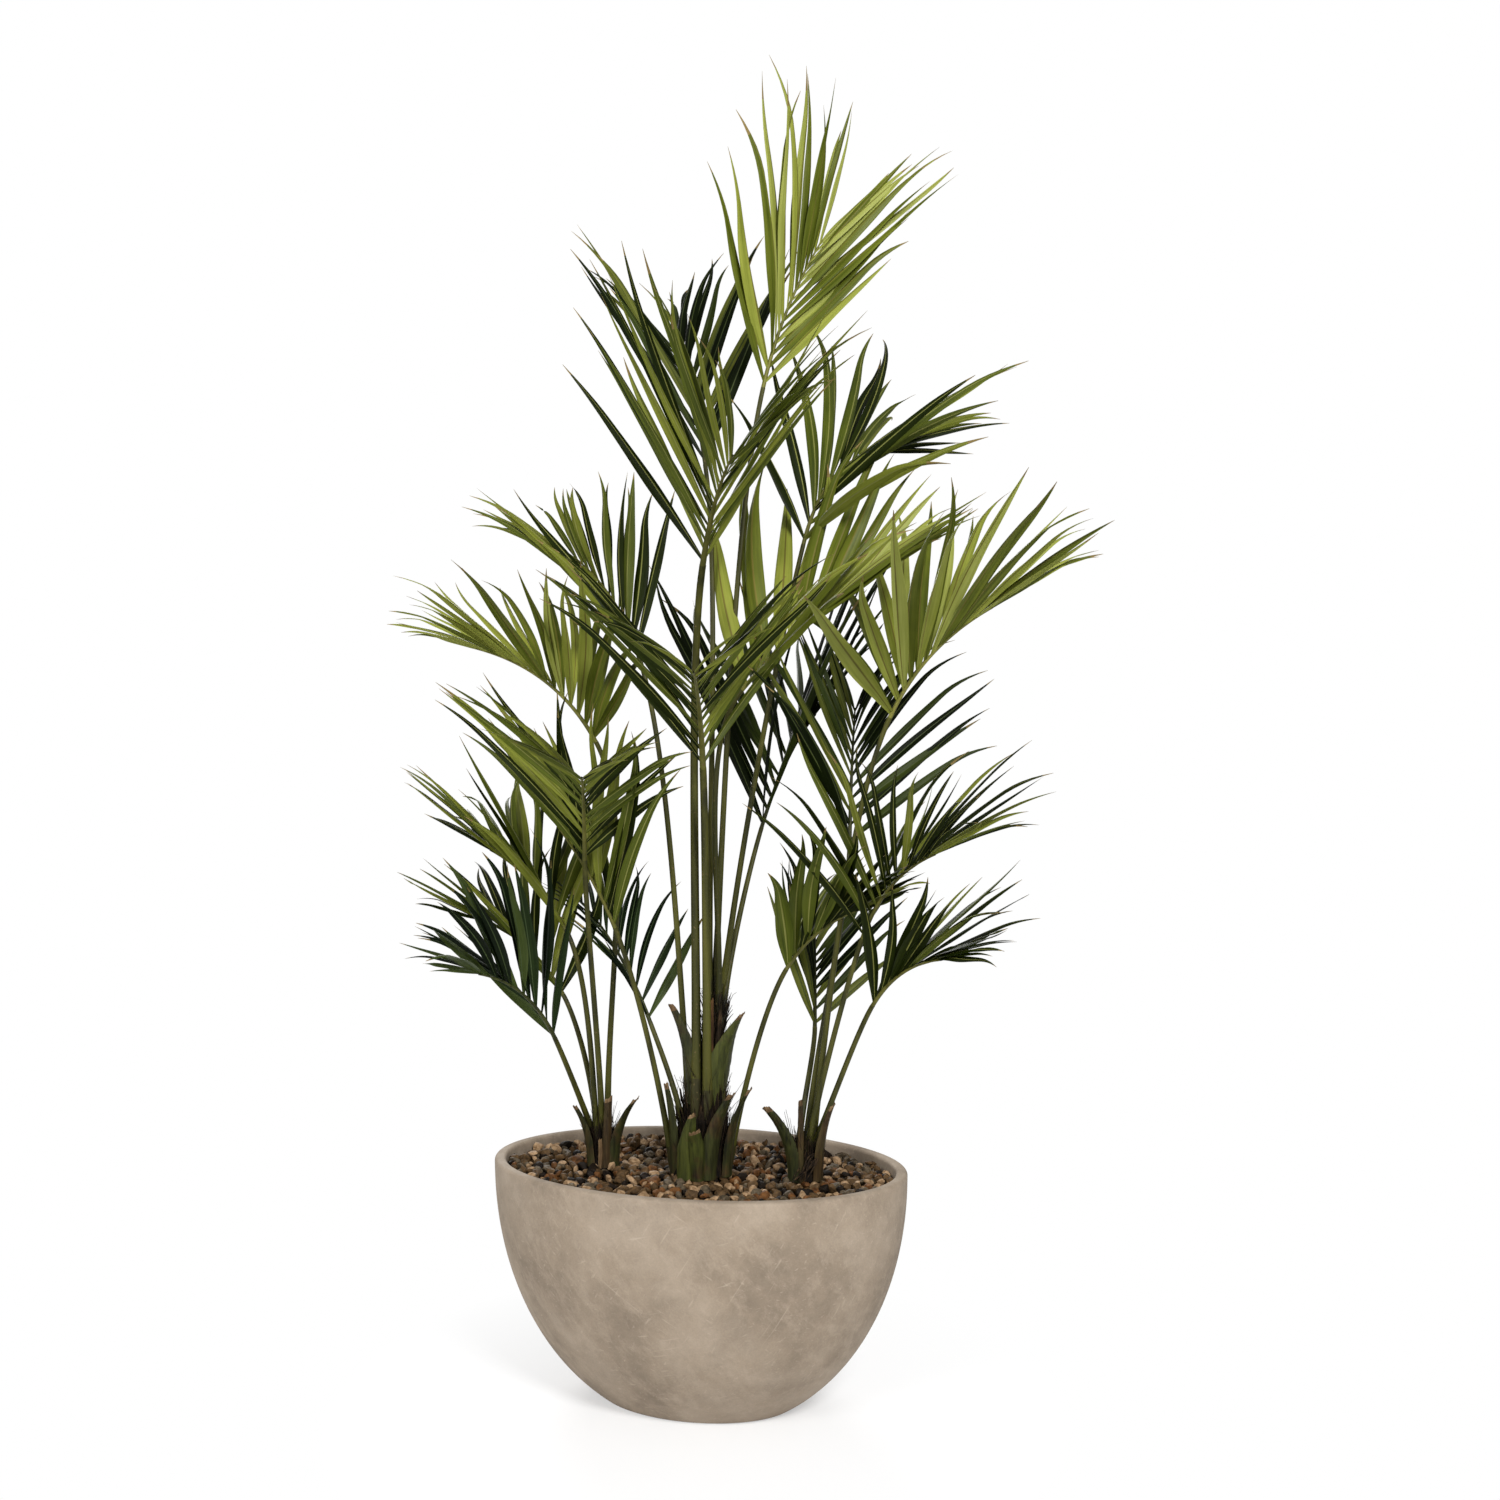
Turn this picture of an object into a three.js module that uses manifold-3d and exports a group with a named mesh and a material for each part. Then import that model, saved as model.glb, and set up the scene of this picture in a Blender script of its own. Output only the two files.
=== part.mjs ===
// A potted kentia palm: three short stems in a row in an oval bowl filled with gravel,
// twenty-one long leaf stalks and, at the end of each, one frond of lance-shaped leaflets.
// Millimetres, +Z up. The origin is the middle of the pot's flat underside, and the pot's
// long axis lies along X.
import * as THREE from "three";
import { mergeVertices } from "three/addons/utils/BufferGeometryUtils.js";
import Module from "manifold-3d";

const wasm = await Module();
wasm.setup();

// The pot: a bowl whose curve would close at BOWL_DEPTH below the rim, cut short by its flat foot.
const POT_LENGTH = 632;
const POT_DEPTH = 408;
const POT_HEIGHT = 350;
const BOWL_DEPTH = 390;
const BOWL_ROUNDNESS = 2.1;
const WALL = 17;
const FLOOR = 20;
const RIM_RADIUS = 5;
const POT_SIDES = 40;
const POT_STEPS = 8;
const GRAVEL_STEPS = 4;

// The gravel stands a little below the rim.
const GRAVEL_DROP = 14;
const GRAVEL_TOP = POT_HEIGHT - GRAVEL_DROP;
const CLEAR = 0.3;

// The plant is turned in its pot, so that its own left-to-right is not the pot's long axis.
const PLANT_TURN = THREE.MathUtils.degToRad(15);

// Each stem stands on the gravel: its place, its lean, and its radius at some heights. The middle
// one has a broad foot, and a narrow crown that stands on the foot's shoulder.
const STEM_SIDES = 14;
const SIDE_STEM_TOP = 42;
const SHOULDER = 100;
const CROWN_TOP = 240;
const STEMS = {
  left: { at: [-148, 38], lean: [0, 0], radii: [[0, 24], [18, 18], [SIDE_STEM_TOP, 16]] },
  centre: {
    at: [4, -6],
    lean: [0.1, 0],
    radii: [[0, 48], [30, 38], [SHOULDER - 4, 34], [SHOULDER, 33], [SHOULDER + 1, 17], [CROWN_TOP, 15]],
  },
  right: { at: [160, -42], lean: [0, 0], radii: [[0, 25], [18, 19], [SIDE_STEM_TOP, 17]] },
};

// Stalks and ribs, from their thick end to their thin one.
const STALK_SIDES = 5;
const STALK_STEPS = 8;
const STALK_FOOT_RADIUS = 4.6;
const STALK_THROAT_RADIUS = 3.6;
const STALK_STEEP = 0.35;
const RIB_TIP_RADIUS = 2.2;
const RIB_LAST_SPACE = 5;

// A leaflet is a lance: its width along its length and towards the rib's end, its keel, and the
// room kept round it.
const LEAFLET_WIDTH = 21;
const LAST_WIDTH = 0.55;
const KEEL_SHARE = 0.0108;
const LEAST_KEEL = 2.2;
const BLADE_PLACES = [0.28, 0.66];
const BLADE_WIDTHS = [1, 0.68];
const LEAFLET_BASE = 7;
const LEAFLET_ROOM = 0.5;
const ROOT_ROOM = 2;
const SHARED_BASE = 0.14;
const LOUVRE = THREE.MathUtils.degToRad(25);

const TONES = {
  light: 0x8f9a52,
  mid: 0x55643a,
  dark: 0x28331f,
  blue: 0x2c3d30,
};

// One row to a frond, with x to the right, y away and z up from the pot's underside. foot: the
// stalk's start, as an angle round its stem, a radius and a height on it. throat: where the stalk
// ends and the leaflets begin. tip: the rib's far end. arch: how far the rib rises above its
// chord. roll: how far the blade is turned round its rib. pairs and length: of the leaflets.
// spread and rise: their angle to the rib and out of the blade's plane, at its base and its end.
// droop: how far a leaflet falls, as a share of its length. stout: how much thicker than usual the
// stalk is. steep: how far the stalk's start is turned upright from the way to its throat.
const FRONDS = {
  centre_1: { foot: [110, 10, CROWN_TOP], throat: [99, 40, 1519], tip: [190, 60, 1751], arch: 10, roll: 95,
    pairs: 11, length: 365, spread: [34, 15], rise: [26, 16], droop: 0.03, tone: "light" },
  centre_2: { foot: [235, 26, SHOULDER], throat: [10, -60, 1236], tip: [56, -230, 1363], arch: 20, roll: -20,
    pairs: 11, length: 370, spread: [48, 26], rise: [40, 28], droop: 0.06, tone: "mid", stout: 1.45 },
  centre_3: { foot: [170, 10, CROWN_TOP], throat: [9, 90, 1411], tip: [-53, 280, 1649], arch: 20, roll: -10,
    pairs: 10, length: 350, spread: [38, 22], rise: [42, 32], droop: 0.06, tone: "dark" },
  centre_4: { foot: [50, 10, CROWN_TOP], throat: [161, 60, 1282], tip: [285, 220, 1455], arch: 35, roll: 20,
    pairs: 10, length: 350, spread: [50, 24], rise: [35, 25], droop: 0.13, tone: "dark" },
  centre_5: { foot: [290, 10, CROWN_TOP], throat: [67, -20, 1055], tip: [262, -40, 1225], arch: 10, roll: 30,
    pairs: 10, length: 318, spread: [46, 14], rise: [30, 20], droop: 0.06, tone: "light" },
  centre_6: { foot: [275, 26, SHOULDER], throat: [11, -80, 940], tip: [5, -290, 1068], arch: 25, roll: 0,
    pairs: 11, length: 300, spread: [50, 42], rise: [36, 25], droop: 0.12, tone: "mid", stout: 1.45 },
  centre_7: { foot: [350, 10, CROWN_TOP], throat: [97, 90, 845], tip: [188, 240, 1025], arch: 15, roll: -30,
    pairs: 10, length: 425, spread: [40, 18], rise: [30, 25], droop: 0.06, tone: "dark" },
  centre_8: { foot: [180, 26, SHOULDER], throat: [-90, 20, 1110], tip: [-195, 100, 1267], arch: 15, roll: -28,
    pairs: 10, length: 290, spread: [42, 20], rise: [38, 22], droop: 0.1, tone: "mid" },
  centre_9: { foot: [190, 32, 70], throat: [-72, 20, 554], tip: [-193, 150, 726], arch: 15, roll: 0,
    pairs: 9, length: 195, spread: [40, 24], rise: [35, 25], droop: 0.2, tone: "blue" },
  centre_10: { foot: [188, 44, 20], throat: [-121, -30, 703], tip: [-198, -60, 849], arch: 5, roll: 8,
    pairs: 9, length: 300, spread: [45, 20], rise: [35, 25], droop: 0.05, tone: "mid" },
  centre_11: { foot: [355, 44, 25], throat: [133, -20, 640], tip: [252, -70, 738], arch: 15, roll: 0,
    pairs: 9, length: 220, spread: [44, 18], rise: [38, 26], droop: 0.1, tone: "mid" },
  left_1: { foot: [20, 10.5, SIDE_STEM_TOP], throat: [-154, 20, 978], tip: [-332, 0, 1118], arch: 25, roll: 0,
    pairs: 11, length: 260, spread: [62, 15], rise: [40, 20], droop: 0.1, tone: "light" },
  left_2: { foot: [290, 10.5, SIDE_STEM_TOP], throat: [-159, -90, 808], tip: [-142, -280, 930], arch: 25, roll: -16,
    pairs: 11, length: 275, spread: [54, 38], rise: [34, 24], droop: 0.13, tone: "mid" },
  left_3: { foot: [235, 10.5, SIDE_STEM_TOP], throat: [-197, 0, 696], tip: [-328, 100, 809], arch: 15, roll: 0,
    pairs: 10, length: 270, spread: [48, 20], rise: [35, 25], droop: 0.09, tone: "mid", steep: 0.6 },
  left_4: { foot: [185, 10.5, SIDE_STEM_TOP], throat: [-210, -30, 540], tip: [-297, -170, 655], arch: 20, roll: 15,
    pairs: 9, length: 225, spread: [38, 16], rise: [36, 15], droop: 0.12, tone: "blue", steep: 0.05 },
  left_5: { foot: [130, 10.5, SIDE_STEM_TOP], throat: [-206, 40, 592], tip: [-351, 140, 695], arch: 20, roll: 0,
    pairs: 8, length: 230, spread: [45, 20], rise: [35, 25], droop: 0.06, tone: "mid", steep: 0.7 },
  right_1: { foot: [20, 11, SIDE_STEM_TOP], throat: [283, -60, 1013], tip: [430, -80, 1172], arch: 18, roll: 8,
    pairs: 11, length: 335, spread: [57, 14], rise: [40, 18], droop: 0.12, tone: "light" },
  right_2: { foot: [80, 11, SIDE_STEM_TOP], throat: [229, 10, 822], tip: [245, 120, 1032], arch: 15, roll: 32,
    pairs: 10, length: 285, spread: [54, 24], rise: [30, 22], droop: 0.1, tone: "dark" },
  right_3: { foot: [280, 11, SIDE_STEM_TOP], throat: [242, -75, 693], tip: [334, -185, 822], arch: 20, roll: 0,
    pairs: 11, length: 292, spread: [50, 16], rise: [40, 20], droop: 0.12, tone: "mid", steep: 0.2 },
  right_4: { foot: [340, 11, SIDE_STEM_TOP], throat: [260, -40, 590], tip: [345, -150, 672], arch: 15, roll: 0,
    pairs: 9, length: 232, spread: [44, 16], rise: [38, 20], droop: 0.08, tone: "mid", steep: 0 },
  right_5: { foot: [150, 11, SIDE_STEM_TOP], throat: [178, 40, 543], tip: [185, 190, 673], arch: 15, roll: 25,
    pairs: 9, length: 230, spread: [42, 22], rise: [35, 25], droop: 0.06, tone: "dark" },
};

// The sheath of a cut leaf stays round the stem: the way its outer face looks, as an angle, its
// base and its tip, with heights from the gravel's top, and its width at its base, low on its
// blade and at its tip.
const SHEATH_THICKNESS = 3;
const SHEATH_BROAD_PLACE = 0.4;
const SHEATHS = {
  sheath_1: { facing: 262, base: [-9, -56, 0], tip: [-2, -68, 100], widths: [30, 46, 10] },
  sheath_2: { facing: 290, base: [20, -55, 0], tip: [54, -74, 131], widths: [24, 26, 8] },
  sheath_3: { facing: 325, base: [48, -34, 0], tip: [80, -48, 132], widths: [22, 20, 6] },
  sheath_4: { facing: 310, base: [30, -26, 104], tip: [69, -46, 243], widths: [26, 36, 8] },
  sheath_5: { facing: 230, base: [-8, -24, 104], tip: [-39, -36, 254], widths: [20, 22, 6] },
  sheath_6: { facing: 215, base: [-35, -26, 0], tip: [-46, -40, 138], widths: [18, 20, 6] },
  sheath_7: { facing: 220, base: [-164, 20, 0], tip: [-186, 8, 94], widths: [18, 16, 8] },
  sheath_8: { facing: 320, base: [-124, 18, 0], tip: [-90, 2, 107], widths: [26, 22, 14] },
  sheath_9: { facing: 290, base: [-136, 12, 0], tip: [-133, 8, 107], widths: [20, 19, 12] },
  sheath_10: { facing: 230, base: [141, -62, 0], tip: [100, -78, 112], widths: [28, 24, 9] },
  sheath_11: { facing: 265, base: [153, -66, 0], tip: [152, -74, 121], widths: [12, 10, 5] },
  sheath_12: { facing: 325, base: [182, -58, 0], tip: [201, -68, 114], widths: [22, 20, 6] },
};

const UP = new THREE.Vector3(0, 0, 1);

// The same made-up number between -1 and 1 for the same row and place every time.
function wobble(row, place, use) {
  const turned = Math.sin(row * 12.9898 + place * 78.233 + use * 37.719) * 43758.5453;
  return 2 * (turned - Math.floor(turned)) - 1;
}

function solidOf(geometry) {
  const bare = new THREE.BufferGeometry();
  bare.setAttribute("position", geometry.getAttribute("position").clone());
  if (geometry.index) bare.setIndex(geometry.index.clone());
  const merged = mergeVertices(bare, 1e-3);
  const triVerts = new Uint32Array(merged.index.array);
  const vertProperties = merged.attributes.position.array;
  return new wasm.Manifold(new wasm.Mesh({ numProp: 3, vertProperties, triVerts }));
}

function geometryOf(solid) {
  const mesh = solid.getMesh();
  const geometry = new THREE.BufferGeometry();
  geometry.setAttribute("position", new THREE.BufferAttribute(mesh.vertProperties, 3));
  geometry.setIndex(new THREE.BufferAttribute(mesh.triVerts, 1));
  geometry.computeVertexNormals();
  return geometry;
}

// The biggest body of a solid, without the scraps that a cut leaves.
function mainBody(solid) {
  const bodies = solid.decompose();
  return bodies.reduce((best, body) => (body.volume() > best.volume() ? body : best));
}

// A closed skin over rings of points, each ring run the same way round as seen from its far
// side, with a flat cap on the first ring and a cap or a point on the last.
function skin(rings, point) {
  const count = rings[0].length;
  const positions = [];
  const faces = [];
  for (const ring of rings) for (const p of ring) positions.push(p.x, p.y, p.z);
  for (let r = 0; r + 1 < rings.length; r += 1) {
    for (let k = 0; k < count; k += 1) {
      const a = r * count + k;
      const b = r * count + ((k + 1) % count);
      faces.push(a, b, b + count, a, b + count, a + count);
    }
  }
  const last = (rings.length - 1) * count;
  for (let k = 1; k + 1 < count; k += 1) faces.push(0, k + 1, k);
  if (point) {
    positions.push(point.x, point.y, point.z);
    for (let k = 0; k < count; k += 1) faces.push(last + k, last + ((k + 1) % count), last + count);
  } else {
    for (let k = 1; k + 1 < count; k += 1) faces.push(last, last + k, last + k + 1);
  }
  const geometry = new THREE.BufferGeometry();
  geometry.setAttribute("position", new THREE.Float32BufferAttribute(positions, 3));
  geometry.setIndex(faces);
  return geometry;
}

// A round limb along a curve, tapering from one radius to the other.
function limb(curve, sides, steps, thick, thin) {
  const frames = curve.computeFrenetFrames(steps, false);
  const rings = [];
  for (let i = 0; i <= steps; i += 1) {
    const centre = curve.getPointAt(i / steps);
    const radius = THREE.MathUtils.lerp(thick, thin, i / steps);
    const ring = [];
    for (let k = 0; k < sides; k += 1) {
      const turn = (2 * Math.PI * k) / sides;
      const across = frames.normals[i].clone().multiplyScalar(radius * Math.cos(turn));
      const over = frames.binormals[i].clone().multiplyScalar(radius * Math.sin(turn));
      ring.push(centre.clone().add(across).add(over));
    }
    rings.push(ring);
  }
  return solidOf(skin(rings));
}

// How far out the bowl's wall stands at a height, as a share of its half-length at the rim.
function bowlShare(height) {
  const down = (POT_HEIGHT - height) / BOWL_DEPTH;
  return (1 - down ** BOWL_ROUNDNESS) ** (1 / BOWL_ROUNDNESS);
}

// An oval solid turned from a profile of [share of the half-length, height] and then pulled in
// to the pot's depth.
function oval(profile, halfLength, halfDepth) {
  const points = profile.map(([share, height]) => new THREE.Vector2(share, height));
  const turned = new THREE.LatheGeometry(points, POT_SIDES);
  turned.rotateX(Math.PI / 2);
  turned.scale(halfLength, halfDepth, 1);
  return solidOf(turned);
}

// The bowl's profile from the axis at its bottom to the rim and back to the axis.
function bowlProfile(steps, bottom, top, flare) {
  const profile = [[0, bottom]];
  for (let i = 0; i <= steps; i += 1) {
    const height = bottom + ((top - bottom) * i) / steps;
    profile.push([bowlShare(height), height]);
  }
  if (flare) profile.push([bowlShare(top) + flare, top + RIM_RADIUS]);
  profile.push([0, flare ? top + RIM_RADIUS : top]);
  return profile;
}

function makePot() {
  const halfLength = POT_LENGTH / 2;
  const halfDepth = POT_DEPTH / 2;
  const shoulder = POT_HEIGHT - RIM_RADIUS;
  const outside = bowlProfile(POT_STEPS, 0, shoulder);
  outside.pop();
  outside.push([bowlShare(POT_HEIGHT) - (0.3 * RIM_RADIUS) / halfLength, POT_HEIGHT - 0.3 * RIM_RADIUS]);
  outside.push([1 - RIM_RADIUS / halfLength, POT_HEIGHT]);
  outside.push([0, POT_HEIGHT]);
  const inside = bowlProfile(POT_STEPS, FLOOR, shoulder, RIM_RADIUS / halfLength);
  const body = oval(outside, halfLength, halfDepth);
  return body.subtract(oval(inside, halfLength - WALL, halfDepth - WALL));
}

function makeGravel() {
  const halfLength = POT_LENGTH / 2 - WALL - CLEAR;
  const halfDepth = POT_DEPTH / 2 - WALL - CLEAR;
  return oval(bowlProfile(GRAVEL_STEPS, FLOOR + CLEAR, GRAVEL_TOP), halfLength, halfDepth);
}

// The stem's radius at a height above its foot.
function stemRadius(stem, height) {
  const above = stem.radii.findIndex(([level]) => level >= height);
  if (above <= 0) return stem.radii.at(above)[1];
  const [low, wide] = stem.radii[above - 1];
  const [high, narrow] = stem.radii[above];
  return THREE.MathUtils.lerp(wide, narrow, (height - low) / (high - low));
}

function stemAxis(stem, height) {
  return new THREE.Vector3(
    stem.at[0] + stem.lean[0] * height,
    stem.at[1] + stem.lean[1] * height,
    GRAVEL_TOP + CLEAR + height,
  );
}

function makeStem(stem, grow) {
  const last = stem.radii.length - 1;
  const profile = stem.radii.map(([height, radius], i) => {
    const level = height + (i > 0 ? grow : -grow);
    return new THREE.Vector2(radius + grow, level);
  });
  profile.unshift(new THREE.Vector2(0, profile[0].y));
  profile.push(new THREE.Vector2(0, profile[last + 1].y));
  const turned = new THREE.LatheGeometry(profile, STEM_SIDES);
  turned.rotateX(Math.PI / 2);
  const place = new THREE.Matrix4().set(
    1, 0, stem.lean[0], stem.at[0],
    0, 1, stem.lean[1], stem.at[1],
    0, 0, 1, GRAVEL_TOP + CLEAR,
    0, 0, 0, 1,
  );
  return solidOf(turned.applyMatrix4(place));
}

// The rib runs from the throat to its tip, arched above the straight line between them.
function ribCurve(frond) {
  const throat = new THREE.Vector3(...frond.throat);
  const tip = new THREE.Vector3(...frond.tip);
  const along = tip.clone().sub(throat).normalize();
  const above = UP.clone().addScaledVector(along, -UP.dot(along)).normalize();
  const bend = throat.clone().add(tip).multiplyScalar(0.5).addScaledVector(above, 2 * frond.arch);
  return new THREE.QuadraticBezierCurve3(throat, bend, tip);
}

// The stalk leaves its stem a little steeper than straight at the throat, and arrives there in
// the rib's direction.
function stalkCurve(frond, stem) {
  const throat = new THREE.Vector3(...frond.throat);
  const arriving = ribCurve(frond).getTangentAt(0);
  const [angle, radius, height] = frond.foot;
  const turn = THREE.MathUtils.degToRad(angle);
  const foot = stemAxis(stem, height + CLEAR);
  foot.x += radius * Math.cos(turn);
  foot.y += radius * Math.sin(turn);
  const reach = throat.distanceTo(foot);
  const leaving = throat.clone().sub(foot).divideScalar(reach).lerp(UP, frond.steep ?? STALK_STEEP).normalize();
  return new THREE.CubicBezierCurve3(
    foot,
    foot.clone().addScaledVector(leaving, 0.35 * reach),
    throat.clone().addScaledVector(arriving, -0.22 * reach),
    throat,
  );
}

// The rib's own directions at a place along it: onward, across to the right, and upper.
function ribFrame(frond, place) {
  const curve = ribCurve(frond);
  const along = curve.getTangentAt(place);
  const across = along.clone().cross(UP).normalize();
  across.applyAxisAngle(along, THREE.MathUtils.degToRad(frond.roll));
  const upper = across.clone().cross(along);
  return { point: curve.getPointAt(place), along, across, upper };
}

// Where a pair of leaflets leaves the rib, as a share of the rib's length.
function pairPlace(frond, pair) {
  return 0.03 + 0.94 * (pair / (frond.pairs - 1)) ** 0.9;
}

// A leaflet's place and the way it leaves the rib, after the frond's own angles, each changed
// a little so that no two are alike, and by the bend that keeps it clear.
function leafletPlan(frond, row, pair, side, bend) {
  const share = pair / (frond.pairs - 1);
  const number = pair * 2 + (side > 0 ? 1 : 0);
  const { point, along, across, upper } = ribFrame(frond, pairPlace(frond, pair));
  const spread = THREE.MathUtils.degToRad(
    THREE.MathUtils.lerp(...frond.spread, share) + 3 * wobble(row, number, 1) + bend.spread,
  );
  const rise = THREE.MathUtils.degToRad(
    THREE.MathUtils.lerp(...frond.rise, share) + 5 * wobble(row, number, 2) + bend.rise,
  );
  const outward = across.clone().multiplyScalar(side * Math.cos(rise));
  outward.addScaledVector(upper, Math.sin(rise));
  const leaving = along.clone().multiplyScalar(Math.cos(spread));
  leaving.addScaledVector(outward, Math.sin(spread));
  const shape = 0.95 + 0.4 * share - 0.85 * share * share;
  const length = frond.length * shape * (1 + 0.06 * wobble(row, number, 3)) * bend.length;
  const falling = UP.clone().negate().addScaledVector(leaving, UP.dot(leaving));
  const width = LEAFLET_WIDTH * THREE.MathUtils.lerp(1, LAST_WIDTH, share);
  const thick = Math.max(LEAST_KEEL, KEEL_SHARE * length);
  return { side, point, along, leaving, falling, length, width, thick, droop: frond.droop };
}

// One section across a leaflet's blade: its near edge, its far edge and its keel.
function bladeSection(plan, place, width, grow) {
  const centre = plan.point.clone().addScaledVector(plan.leaving, plan.length * place);
  centre.addScaledVector(plan.falling, plan.length * plan.droop * place * place);
  const heading = plan.leaving.clone().addScaledVector(plan.falling, 2 * plan.droop * place).normalize();
  const flat = plan.along.clone().addScaledVector(heading, -plan.along.dot(heading)).normalize();
  const over = plan.side > 0 ? heading.clone().cross(flat) : flat.clone().cross(heading);
  const wide = flat.clone().multiplyScalar(Math.cos(LOUVRE)).addScaledVector(over, -Math.sin(LOUVRE));
  const keel = plan.side > 0 ? heading.clone().cross(wide) : wide.clone().cross(heading);
  const half = 0.5 * width + grow;
  return {
    near: centre.clone().addScaledVector(wide, -half).addScaledVector(keel, -grow),
    far: centre.clone().addScaledVector(wide, half).addScaledVector(keel, -grow),
    keel: centre.clone().addScaledVector(keel, plan.thick + grow),
  };
}

function bladeTip(plan, grow) {
  const end = plan.point.clone().addScaledVector(plan.leaving, plan.length + grow);
  return end.addScaledVector(plan.falling, (plan.length + grow) * plan.droop);
}

// A section's corners in the order that turns the blade's faces outward on its side of the rib.
function cornersOf(section, side) {
  const { near, far, keel } = section;
  return side > 0 ? [near, far, keel] : [near, keel, far];
}

// The room that a leaflet takes up, from a share of its length onward.
function leafletRoom(plan, from, grow) {
  const width = THREE.MathUtils.lerp(LEAFLET_BASE, plan.width, from / BLADE_PLACES[0]);
  const root = from > 0 ? grow : grow + ROOT_ROOM;
  const rings = [cornersOf(bladeSection(plan, from, width, root), plan.side)];
  BLADE_PLACES.forEach((place, i) => {
    const section = bladeSection(plan, place, plan.width * BLADE_WIDTHS[i], grow);
    rings.push(cornersOf(section, plan.side));
  });
  return solidOf(skin(rings, bladeTip(plan, grow)));
}

// A frond in one skin: a three-sided rib, and on its two upper sides a leaflet that grows out
// of the side between two of the rib's sections.
function makeFrond(frond, plans) {
  const positions = [];
  const faces = [];
  const number = (p) => positions.push(p.x, p.y, p.z) / 3 - 1;
  const length = ribCurve(frond).getLength();
  const ring = (place) => {
    const { point, across, upper } = ribFrame(frond, place);
    const radius = THREE.MathUtils.lerp(STALK_THROAT_RADIUS, RIB_TIP_RADIUS, place);
    return {
      left: number(point.clone().addScaledVector(across, -radius)),
      right: number(point.clone().addScaledVector(across, radius)),
      top: number(point.clone().addScaledVector(upper, radius)),
    };
  };
  const grow = (start, plan) => {
    let from = start;
    BLADE_PLACES.forEach((place, i) => {
      const section = bladeSection(plan, place, plan.width * BLADE_WIDTHS[i], 0);
      const to = cornersOf(section, plan.side).map(number);
      from.forEach((a, k) => {
        const next = (k + 1) % from.length;
        faces.push(a, from[next], to[next], a, to[next], to[k]);
      });
      from = to;
    });
    const tip = number(bladeTip(plan, 0));
    from.forEach((a, k) => faces.push(a, from[(k + 1) % from.length], tip));
  };
  const side = (corners, plan) => {
    if (plan) grow(corners, plan);
    else faces.push(...corners);
  };
  let last = ring(CLEAR / length);
  faces.push(last.left, last.right, last.top);
  const onward = (place, left, right) => {
    const next = ring(place);
    side([last.left, last.top, next.left], left);
    side([last.right, next.right, last.top], right);
    faces.push(next.left, last.top, next.top, last.top, next.right, next.top);
    faces.push(last.left, next.left, next.right, last.left, next.right, last.right);
    last = next;
  };
  plans.forEach(([left, right], pair) => {
    const middle = pairPlace(frond, pair);
    const space = (0.5 * THREE.MathUtils.lerp(LEAFLET_BASE, RIB_LAST_SPACE, middle)) / length;
    onward(middle - space);
    onward(middle + space, left, right);
  });
  faces.push(last.left, last.top, last.right);
  const geometry = new THREE.BufferGeometry();
  geometry.setAttribute("position", new THREE.Float32BufferAttribute(positions, 3));
  geometry.setIndex(faces);
  return solidOf(geometry);
}

// A sheath is a curved plate that rises along the stem, leans out and ends in a slanting cut.
function makeSheath(sheath, grow) {
  const turn = THREE.MathUtils.degToRad(sheath.facing);
  const out = new THREE.Vector3(Math.cos(turn), Math.sin(turn), 0);
  const aside = new THREE.Vector3(-Math.sin(turn), Math.cos(turn), 0);
  const base = new THREE.Vector3(...sheath.base);
  const tip = new THREE.Vector3(...sheath.tip);
  const bend = base.clone();
  bend.z = THREE.MathUtils.lerp(base.z, tip.z, 0.6);
  const curve = new THREE.QuadraticBezierCurve3(base, bend, tip);
  const [low, broad, end] = sheath.widths;
  const rings = [];
  const steps = 3;
  const points = 4;
  for (let i = 0; i <= steps; i += 1) {
    const up = i / steps;
    const centre = curve.getPoint(up);
    centre.z += GRAVEL_TOP + CLEAR;
    const width =
      up < SHEATH_BROAD_PLACE
        ? THREE.MathUtils.lerp(low, broad, up / SHEATH_BROAD_PLACE)
        : THREE.MathUtils.lerp(broad, end, (up - SHEATH_BROAD_PLACE) / (1 - SHEATH_BROAD_PLACE));
    const half = 0.5 * width + grow;
    const outer = [];
    const inner = [];
    for (let k = 0; k < points; k += 1) {
      const swing = (2 * k) / (points - 1) - 1;
      const back = 0.45 * half * swing * swing;
      const point = centre.clone().addScaledVector(aside, half * swing).addScaledVector(out, -back);
      point.z += 0.35 * half * swing * up;
      outer.push(point.clone().addScaledVector(out, SHEATH_THICKNESS + grow));
      inner.push(point.addScaledVector(out, -grow));
    }
    rings.push([...outer, ...inner.reverse()]);
  }
  return solidOf(skin(rings));
}

const placed = [];

// Notes the room that a solid takes, and the part of it that its own frond's leaflets avoid.
function keep(owner, room, own) {
  placed.push({ owner, solid: room, box: room.boundingBox(), own });
}

function boxesMeet(a, b) {
  for (let axis = 0; axis < 3; axis += 1) {
    if (a.max[axis] < b.min[axis] || b.max[axis] < a.min[axis]) return false;
  }
  return true;
}

// Whether a leaflet would touch what stands already, apart from the rib that it grows on.
function blocked(owner, room, own) {
  const box = room.boundingBox();
  return placed.some((other) => {
    if (!boxesMeet(box, other.box)) return false;
    if (other.owner !== owner) return !room.intersect(other.solid).isEmpty();
    return other.own !== undefined && !own.intersect(other.own).isEmpty();
  });
}

// A solid cut clear of everything that stands already and isn't its own.
function cutClear(solid, owner) {
  const box = solid.boundingBox();
  let left = solid;
  for (const other of placed) {
    if (other.owner === owner || !boxesMeet(box, other.box)) continue;
    if (!left.intersect(other.solid).isEmpty()) left = left.subtract(other.solid);
  }
  return mainBody(left);
}

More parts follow.
